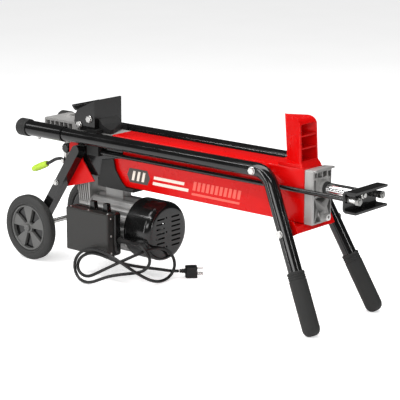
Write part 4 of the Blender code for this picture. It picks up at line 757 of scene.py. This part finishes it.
def build_ram_details():
    refined("cross_bracket", 0.0010, 3)
    rod = [(-0.2147, 0), (-0.2147, 0.011), (0.4225, 0.011), (0.4237, 0.0098), (0.4237, 0.0060),
           (0.4293, 0.0060), (0.4293, 0)]
    add_piece("piston_rod_bar", turned(rod, (0, 0, RAM_Z), "X", 72), "chrome", "piston_rod")
    nut = turned([(0.4293, 0), (0.4293, 0.0095), (0.4370, 0.0095), (0.4378, 0.0080), (0.4378, 0)],
                 (0, 0, RAM_Z), "X", 6)
    stud = turned([(0.4378, 0), (0.4378, 0.0055), (0.4402, 0.0055), (0.4410, 0.0046), (0.4410, 0)],
                  (0, 0, RAM_Z), "X")
    add_piece("piston_rod_nut", merge(nut, stud), "zinc_steel", "piston_rod", replaces=False, bevel=0.0004)
    for side, sign in (("near", -1), ("far", 1)):
        centre = (0, sign * TIE_Y, TIE_Z)
        bar = [(-0.2945, 0), (-0.2945, 0.0044), (-0.2939, 0.0050), (0.4293, 0.0050), (0.4293, 0)]
        add_piece(f"tie_rod_{side}_bar", turned(bar, centre, "X", 32), "black_paint", f"tie_rod_{side}")
        washer = turned([(0.4206, 0), (0.4206, 0.0082), (0.4211, 0.0088), (0.4233, 0.0088),
                         (0.4237, 0.0082), (0.4237, 0)], centre, "X", 40)
        spacer = turned([(0.4293, 0), (0.4293, 0.0066), (0.4298, 0.0072), (0.4475, 0.0072),
                         (0.4480, 0.0066), (0.4480, 0)], centre, "X", 40)
        add_piece(f"tie_rod_{side}_spacer", merge(washer, spacer), "zinc_steel", f"tie_rod_{side}",
                  replaces=False)
        nut = turned([(0.4480, 0), (0.4480, 0.0090), (0.4552, 0.0090), (0.4560, 0.0078), (0.4560, 0)],
                     centre, "X", 6)
        stud = turned([(0.4560, 0), (0.4560, 0.0050), (0.4580, 0.0050), (0.4585, 0.0044), (0.4585, 0)],
                      centre, "X")
        add_piece(f"tie_rod_{side}_nut", merge(nut, stud), "steel", f"tie_rod_{side}", replaces=False,
                  bevel=0.0004)
    wiper = [(0, 0.0113), (0, 0.0140), (0.0006, 0.0145), (0.0036, 0.0145), (0.0042, 0.0138),
             (0.0058, 0.0122), (0.0060, 0.0113)]
    add_piece("rod_wiper_lip", turned(wiper, (0.3438, 0, RAM_Z), "X"), "rubber", "rod_wiper")


# ---------------------------------------------------------------- wheels
def build_wheel_details(side, face_y, sign):
    centre = Vector((WHEEL_X, face_y, WHEEL_RADIUS))
    inward = (0, -sign, 0)
    width, rim = 0.028, 0.0545
    side_wall = [(0.0046, rim), (0.0012, rim + 0.0020), (0.0004, rim + 0.0045), (0.0012, rim + 0.0058),
                 (0.0002, rim + 0.0075), (0.0000, rim + 0.0110), (0.0010, WHEEL_RADIUS - 0.0080),
                 (0.0034, WHEEL_RADIUS - 0.0036), (0.0068, WHEEL_RADIUS - 0.0008), (0.0086, WHEEL_RADIUS)]
    grooves = []
    for k in range(2):
        x = 0.0104 + 0.0050 * k
        grooves += [(x, WHEEL_RADIUS), (x + 0.0006, WHEEL_RADIUS - 0.0012),
                    (x + 0.0016, WHEEL_RADIUS - 0.0012), (x + 0.0022, WHEEL_RADIUS)]
    tread = side_wall + grooves + [(width - along, radius) for along, radius in reversed(side_wall)]
    add_piece(f"tyre_{side}_rubber", turned(tread, centre, inward, 96), "tyre_rubber", f"tyre_{side}")
    ring = [(0.0052, rim - 0.0045), (0.0040, rim - 0.0036), (0.0038, rim - 0.0012), (0.0046, rim - 0.0001),
            (width - 0.0046, rim - 0.0001), (width - 0.0046, rim - 0.0045)]
    hub_ring = turned(ring, centre, inward, 96)
    boss = turned([(0.0062, 0.0061), (0.0048, 0.0070), (0.0046, 0.0118), (0.0060, 0.0132), (0.0270, 0.0132),
                   (0.0270, 0.0061)], centre, inward, 64)
    petals = []
    for k in range(5):
        turn = math.radians(90 + 72 * k)
        outline = [(0.0115, 0.0040), (0.0220, 0.0072), (0.0360, 0.0118), (0.0460, 0.0146), (0.0512, 0.0150)]
        outline += [(r, -s) for r, s in reversed(outline)]
        corners = [(WHEEL_X + r * math.cos(turn) - s * math.sin(turn),
                    WHEEL_RADIUS + r * math.sin(turn) + s * math.cos(turn)) for r, s in outline]
        span = sorted((face_y - sign * 0.0064, face_y - sign * 0.0150))
        petals.append(prism(corners, "Y", *span))
    add_piece(f"hub_{side}_spokes", merge(hub_ring, boss, *petals), "hub_plastic", f"hub_{side}",
              bevel=0.0014, segments=3, angle=50)
    # The web disc between the spokes in the glossy black finish rather than the hub's grey: painted shade
    # for the gaps between the petals.
    shaded_web = [(0.0135, 0.0120), (0.0135, rim - 0.0040), (0.0165, rim - 0.0040), (0.0165, 0.0120)]
    add_piece(f"hub_{side}_web", turned(shaded_web, centre, inward, 64), "hub_plastic", f"hub_{side}",
              "gloss_plastic", False)


def build_axle_details():
    near, far = -0.1003, 0.1308
    bar = [(near + 0.0045, 0), (near + 0.0045, 0.0060), (0.0710, 0.0060), (0.0710, 0.0100),
           (0.1022, 0.0100), (0.1022, 0.0060), (far - 0.0045, 0.0060), (far - 0.0045, 0)]
    add_piece("axle_bar", turned(bar, (WHEEL_X, 0, WHEEL_RADIUS), "Y", 48), "zinc_steel", "axle")
    cap = [(0, 0), (0.0010, 0.0030), (0.0004, 0.0048), (0.0002, 0.0066), (0.0018, 0.0082), (0.0057, 0.0085),
           (0.0057, 0)]
    shapes = [turned(cap, (WHEEL_X, near - 0.0012, WHEEL_RADIUS), (0, 1, 0)),
              turned(cap, (WHEEL_X, far + 0.0012, WHEEL_RADIUS), (0, -1, 0))]
    add_piece("axle_caps", merge(*shapes), "zinc_steel", "axle", "hub_plastic", False)


# ---------------------------------------------------------------- motor, pump and switch box
def build_fan_cover_details():
    radius, rounding, wall = 0.068, 0.016, 0.0022
    length = 0.075
    outer = [(length - rounding + rounding * math.sin(a), radius - rounding + rounding * math.cos(a))
             for a in (math.radians(9 * k) for k in range(11))]
    inner_radius = rounding - wall
    inner = [(length - rounding + inner_radius * math.sin(a),
              radius - rounding + inner_radius * math.cos(a))
             for a in (math.radians(90 - 15 * k) for k in range(7))]
    rim = [(0.0, radius - 0.0008), (0.0008, radius), (0.0060, radius), (0.0066, radius - 0.0006),
           (0.0076, radius - 0.0006), (0.0082, radius)]
    profile = rim + outer + [(length, 0), (length - wall, 0)] + inner + [(0.0, radius - wall)]
    cover = add_piece("fan_cover_shell", turned(profile, (-0.1675, 0, MOTOR_Z), "X", 96), "gloss_plastic",
                      "fan_cover", bevel=0.0005, segments=2, angle=50)
    cutters = []
    for row in range(7):
        z = MOTOR_Z - 0.0330 + 0.0110 * row
        reach = math.sqrt(0.0500 ** 2 - (z - MOTOR_Z) ** 2)
        for y0, y1 in ((max(-0.0400, -reach), -0.0120), (0.0100, min(0.0400, reach))):
            half = 0.0019
            ends = arc((y1 - half, z), half, -90, 90, 6) + arc((y0 + half, z), half, 90, 270, 6)
            cutters.append(prism(ends, "X", -0.1010, -0.0880))
    carve(cover, *cutters)
    cutters = [turned([(0, 0), (0, 0.0024), (0.02, 0.0024), (0.02, 0)], (-0.1010, y, MOTOR_Z + z), "X", 24)
               for y, z in ((-0.0060, 0.0010), (-0.0060, 0.0340), (-0.0060, -0.0330))]
    carve(cover, *cutters)


def build_motor_details():
    refined("motor_housing", 0.0009, 3, 30)
    bell = [(0, 0.030), (0, 0.0602), (-0.0008, 0.0610), (-0.0056, 0.0610), (-0.0068, 0.0598),
            (-0.0080, 0.0570), (-0.0118, 0.0525), (-0.0126, 0.0510), (-0.0126, 0.0320), (-0.0110, 0.0300)]
    add_piece("motor_end_bell_casting", turned(bell, (-0.3000, 0, MOTOR_Z), "X", 96), "motor_aluminium",
              "motor_end_bell")
    clamps = []
    for turn in (35, 80, 125, 215, 260, 305):
        direction = Vector((0, math.cos(math.radians(turn)), math.sin(math.radians(turn))))
        spot = Vector((-0.1700, 0, MOTOR_Z)) + direction * 0.0615
        clamps.append(turned([(-0.006, 0), (-0.006, 0.0034), (0.0015, 0.0034), (0.0015, 0)], spot, "X", 6))
    add_piece("motor_tie_screws", merge(*clamps), "zinc_steel", "motor_housing", replaces=False,
              bevel=0.0004)


def build_switch_box_details():
    x0, x1 = -0.2990, -0.1656
    cover = block((x0, -0.1200, 0.0600), (x1 - 0.0010, -0.0985, 0.1600))
    add_piece("switch_box_lid", cover, "box_plastic", "switch_box_cover", bevel=0.0040, segments=5)
    body = add_piece("switch_box_shell", block((x0 + 0.0020, -0.0987, 0.0605), (x1, -0.0755, 0.1605)),
                     "gloss_plastic", "switch_box_body", bevel=0.0060, segments=5)
    foot = block((-0.2620, -0.0770, 0.0850), (-0.1950, -0.0640, 0.1370))
    clips = []
    for x in (-0.2335, -0.1930):
        clip = [(x - 0.0075, 0.1580), (x + 0.0095, 0.1580), (x + 0.0070, 0.1700), (x + 0.0058, 0.1785),
                (x - 0.0060, 0.1785), (x - 0.0068, 0.1700)]
        clips.append(prism(clip, "Y", -0.1000, -0.0880))
    add_piece("switch_box_clips", merge(foot, *clips), "gloss_plastic", "switch_box_body", replaces=False,
              bevel=0.0012)
    lid_seam = block((x0 + 0.0015, -0.0990, 0.0598), (x1 - 0.0004, -0.0982, 0.1604))
    add_piece("switch_box_seal", lid_seam, "rubber", "switch_box_body", replaces=False, bevel=0.0003)
    # Beside each lid screw, offset to one side, sits a darker glossy disc: a painted shadow of the screw
    # head.
    screws, screw_shadows = [], []
    for x in (-0.2890, -0.2330, -0.1730):
        shadow_profile = [(0, 0), (0, 0.0034), (0.0006, 0.0036), (0.0010, 0.0030), (0.0010, 0)]
        screws.append(turned([(0, 0), (0, 0.0024), (0.0011, 0.0024), (0.0016, 0.0016), (0.0016, 0)],
                             (x, -0.1120, 0.1598), "Z", 24))
        screw_shadows.append(turned(shadow_profile, (x - 0.0040, -0.1120, 0.1592), "Z", 24))
    for z in (0.0700, 0.1100, 0.1500):
        screws.append(turned([(0, 0), (0, 0.0024), (0.0011, 0.0024), (0.0014, 0.0016), (0.0014, 0)],
                             (x1 - 0.0010, -0.1090, z), "X", 24))
    add_piece("switch_box_screws", merge(*screws), "zinc_steel", "switch_box_cover", replaces=False)
    add_piece("switch_box_screw_shadows", merge(*screw_shadows), "gloss_plastic", "switch_box_cover", replaces=False)
    button = [(0, 0), (0, 0.0085), (0.0010, 0.0104), (0.0024, 0.0110), (0.0120, 0.0110), (0.0120, 0)]
    add_piece("switch_button_cap", turned(button, (-0.3035, BUTTON_Y, BUTTON_Z), "X"), "green_plastic",
              "switch_button")
    bezel = [(0, 0.0114), (0, 0.0140), (0.0012, 0.0148), (0.0030, 0.0148), (0.0030, 0.0114)]
    add_piece("switch_button_bezel", turned(bezel, (-0.3000, BUTTON_Y, BUTTON_Z), "X"), "gloss_plastic",
              "switch_box_body", replaces=False)
    relief = [(-0.006, 0), (-0.006, 0.0050), (0.0003, 0.0050), (0.0003, 0.0072), (0.0010, 0.0078),
              (0.0056, 0.0076), (0.0064, 0.0062)]
    for k in range(6):
        x = 0.0085 + 0.0042 * k
        radius = 0.0061 - 0.0003 * k
        relief += [(x, radius), (x + 0.0003, radius - 0.0010), (x + 0.0015, radius - 0.0010),
                   (x + 0.0018, radius - 0.0001)]
    relief += [(0.0338, 0.0043), (0.0340, 0.0040), (0.0340, 0)]
    add_piece("cord_gland_boot", turned(relief, (x1, -0.0835, 0.0960), "X", 48), "rubber", "cord_gland")


def build_pump_details():
    refined("pump_body", 0.0006, 2)


# ---------------------------------------------------------------- lever, valve and rear pieces
def build_lever_details():
    x, y, z = -0.3848, -0.0405, 0.2400
    spine = [Vector(p) for p in ((x + 0.0040, y, z), (x - 0.0040, y, 0.2428), (x - 0.0120, y, 0.2434),
                                 (x - 0.0280, y, 0.2390), (x - 0.0470, y, 0.2290), (x - 0.0750, y, 0.2170))]
    fine = [spine[0]]
    padded = [spine[0]] + spine + [spine[-1]]
    for a, b, c, d in zip(padded, padded[1:], padded[2:], padded[3:]):
        for k in range(1, 7):
            t = k / 6
            fine.append(0.5 * ((2 * b) + (c - a) * t + (2 * a - 5 * b + 4 * c - d) * t * t
                               + (3 * b - a - 3 * c + d) * t ** 3))
    arm = sweep(fine, circle(0.0040, 24))
    eye = turned([(-0.0030, 0), (-0.0030, 0.0052), (-0.0024, 0.0058), (0.0024, 0.0058), (0.0030, 0.0052),
                  (0.0030, 0)], (x, y, z), "Y", 40)
    add_piece("lever_arm_rod", merge(arm, eye), "black_paint", "lever_arm")
    along = (spine[-1] - spine[-2]).normalized()
    start = spine[-2] + along * 0.0080
    grip = [(0, 0.0042), (0, 0.0058), (0.0006, 0.0064), (0.0030, 0.0074)]
    for k in range(7):
        at = 0.0080 + 0.0050 * k
        radius = 0.0076 + 0.0008 * math.sin(math.pi * (k + 1) / 8)
        grip += [(at, radius), (at + 0.0008, radius - 0.0005), (at + 0.0022, radius - 0.0005),
                 (at + 0.0030, radius)]
    grip += [(0.0480, 0.0074), (0.0530, 0.0060), (0.0555, 0.0044), (0.0567, 0.0020), (0.0570, 0)]
    add_piece("lever_grip_sleeve", turned(grip, start, along, 48), "lime_plastic", "lever_grip")
    refined("lever_bracket", 0.0006)
    strip = turned([(0, 0), (0, 0.0036), (0.0020, 0.0036), (0.0026, 0.0028), (0.0026, 0)],
                   (x + 0.0070, -0.0362, 0.2290), (0, -1, 0), 24)
    clevis = turned([(0, 0), (0, 0.0046), (0.0014, 0.0046), (0.0014, 0)], (x, y - 0.0032, z), (0, -1, 0),
                    32)
    add_piece("lever_fixings", merge(strip, clevis), "zinc_steel", "lever_bracket", replaces=False)


def build_knob():
    """A fluted black knob on the oil plug."""
    steps, root = 72, -BEAM_HALF_WIDTH - GAP
    shape = bmesh.new()
    rings = []
    for along, scale in ((0.0, 0.90), (0.0012, 0.98), (0.0110, 1.0), (0.0133, 0.93), (0.0145, 0.78)):
        ring = []
        for k in range(steps):
            turn = 2 * math.pi * k / steps
            radius = 0.0108 * scale + 0.0007 * math.cos(9 * turn)
            ring.append(shape.verts.new((KNOB_X + radius * math.cos(turn), root - along,
                                         KNOB_Z + radius * math.sin(turn))))
        rings.append(ring)
    for first, second in zip(rings, rings[1:]):
        for k in range(steps):
            n = (k + 1) % steps
            shape.faces.new((first[k], first[n], second[n], second[k]))
    shape.faces.new(rings[0])
    shape.faces.new(rings[-1])
    shank = turned([(-0.0085, 0), (-0.0085, 0.0065), (0.0002, 0.0065), (0.0002, 0)],
                   (KNOB_X, root, KNOB_Z), (0, -1, 0), 32)
    add_piece("oil_plug_knob", merge(shape, shank), "black_paint", "oil_plug", bevel=0.0003)


def build_rear_details():
    for node in ("rear_casting", "rear_yoke", "motor_saddle", "rear_leg_bracket", "wheel_leg_near",
                 "wheel_leg_far"):
        refined(node, 0.0011)
    # Near-black sheets in the rubber finish at the bottom of the casting's side pockets: painted shade for
    # the pocket depths.
    pocket_shade_sheets = [block((-0.4500, sign * 0.0222 - 0.0002, 0.3120), (-0.3620, sign * 0.0222 + 0.0002, 0.3295))
               for sign in (-1, 1)]
    add_piece("casting_pocket_painted_shade", merge(*pocket_shade_sheets), "cast_aluminium", "rear_casting", "rubber", False)
    refined("pusher_plate", 0.0012, 4)
    refined("pusher_carriage", 0.0009)
    refined("front_leg_bracket", 0.0008)
    weld_x = -0.2795
    welds = [bead([(weld_x, y, 0.3290), (weld_x, y, 0.3900)], 0.0016) for y in (0.0400, -0.0400)]
    add_piece("pusher_welds", merge(*welds), "black_paint", "pusher_plate", replaces=False)
    studs = []
    for sign in (-1, 1):
        studs.append(turned([(0, 0), (0, 0.0042), (0.0040, 0.0042), (0.0055, 0.0030), (0.0055, 0)],
                            (-0.4380, sign * RAIL_Y, RAIL_Z - 0.0172), (0, 0, -1), 24))
    add_piece("sleeve_studs", merge(*studs), "zinc_steel", "rear_sleeve_near", replaces=False)


build_camera()
dress_cad_nodes()
build_cord()
build_stage()
for side, sign in (("near", -1), ("far", 1)):
    build_rail(side, sign)
    build_foot_grip(side, sign)
build_through_bolts()
build_beam_details()
build_wedge_details()
build_head_details()
build_ram_details()
build_wheel_details("near", -0.1000, -1)
build_wheel_details("far", 0.1305, 1)
build_axle_details()
build_fan_cover_details()
build_motor_details()
build_switch_box_details()
build_pump_details()
build_lever_details()
build_knob()
build_rear_details()
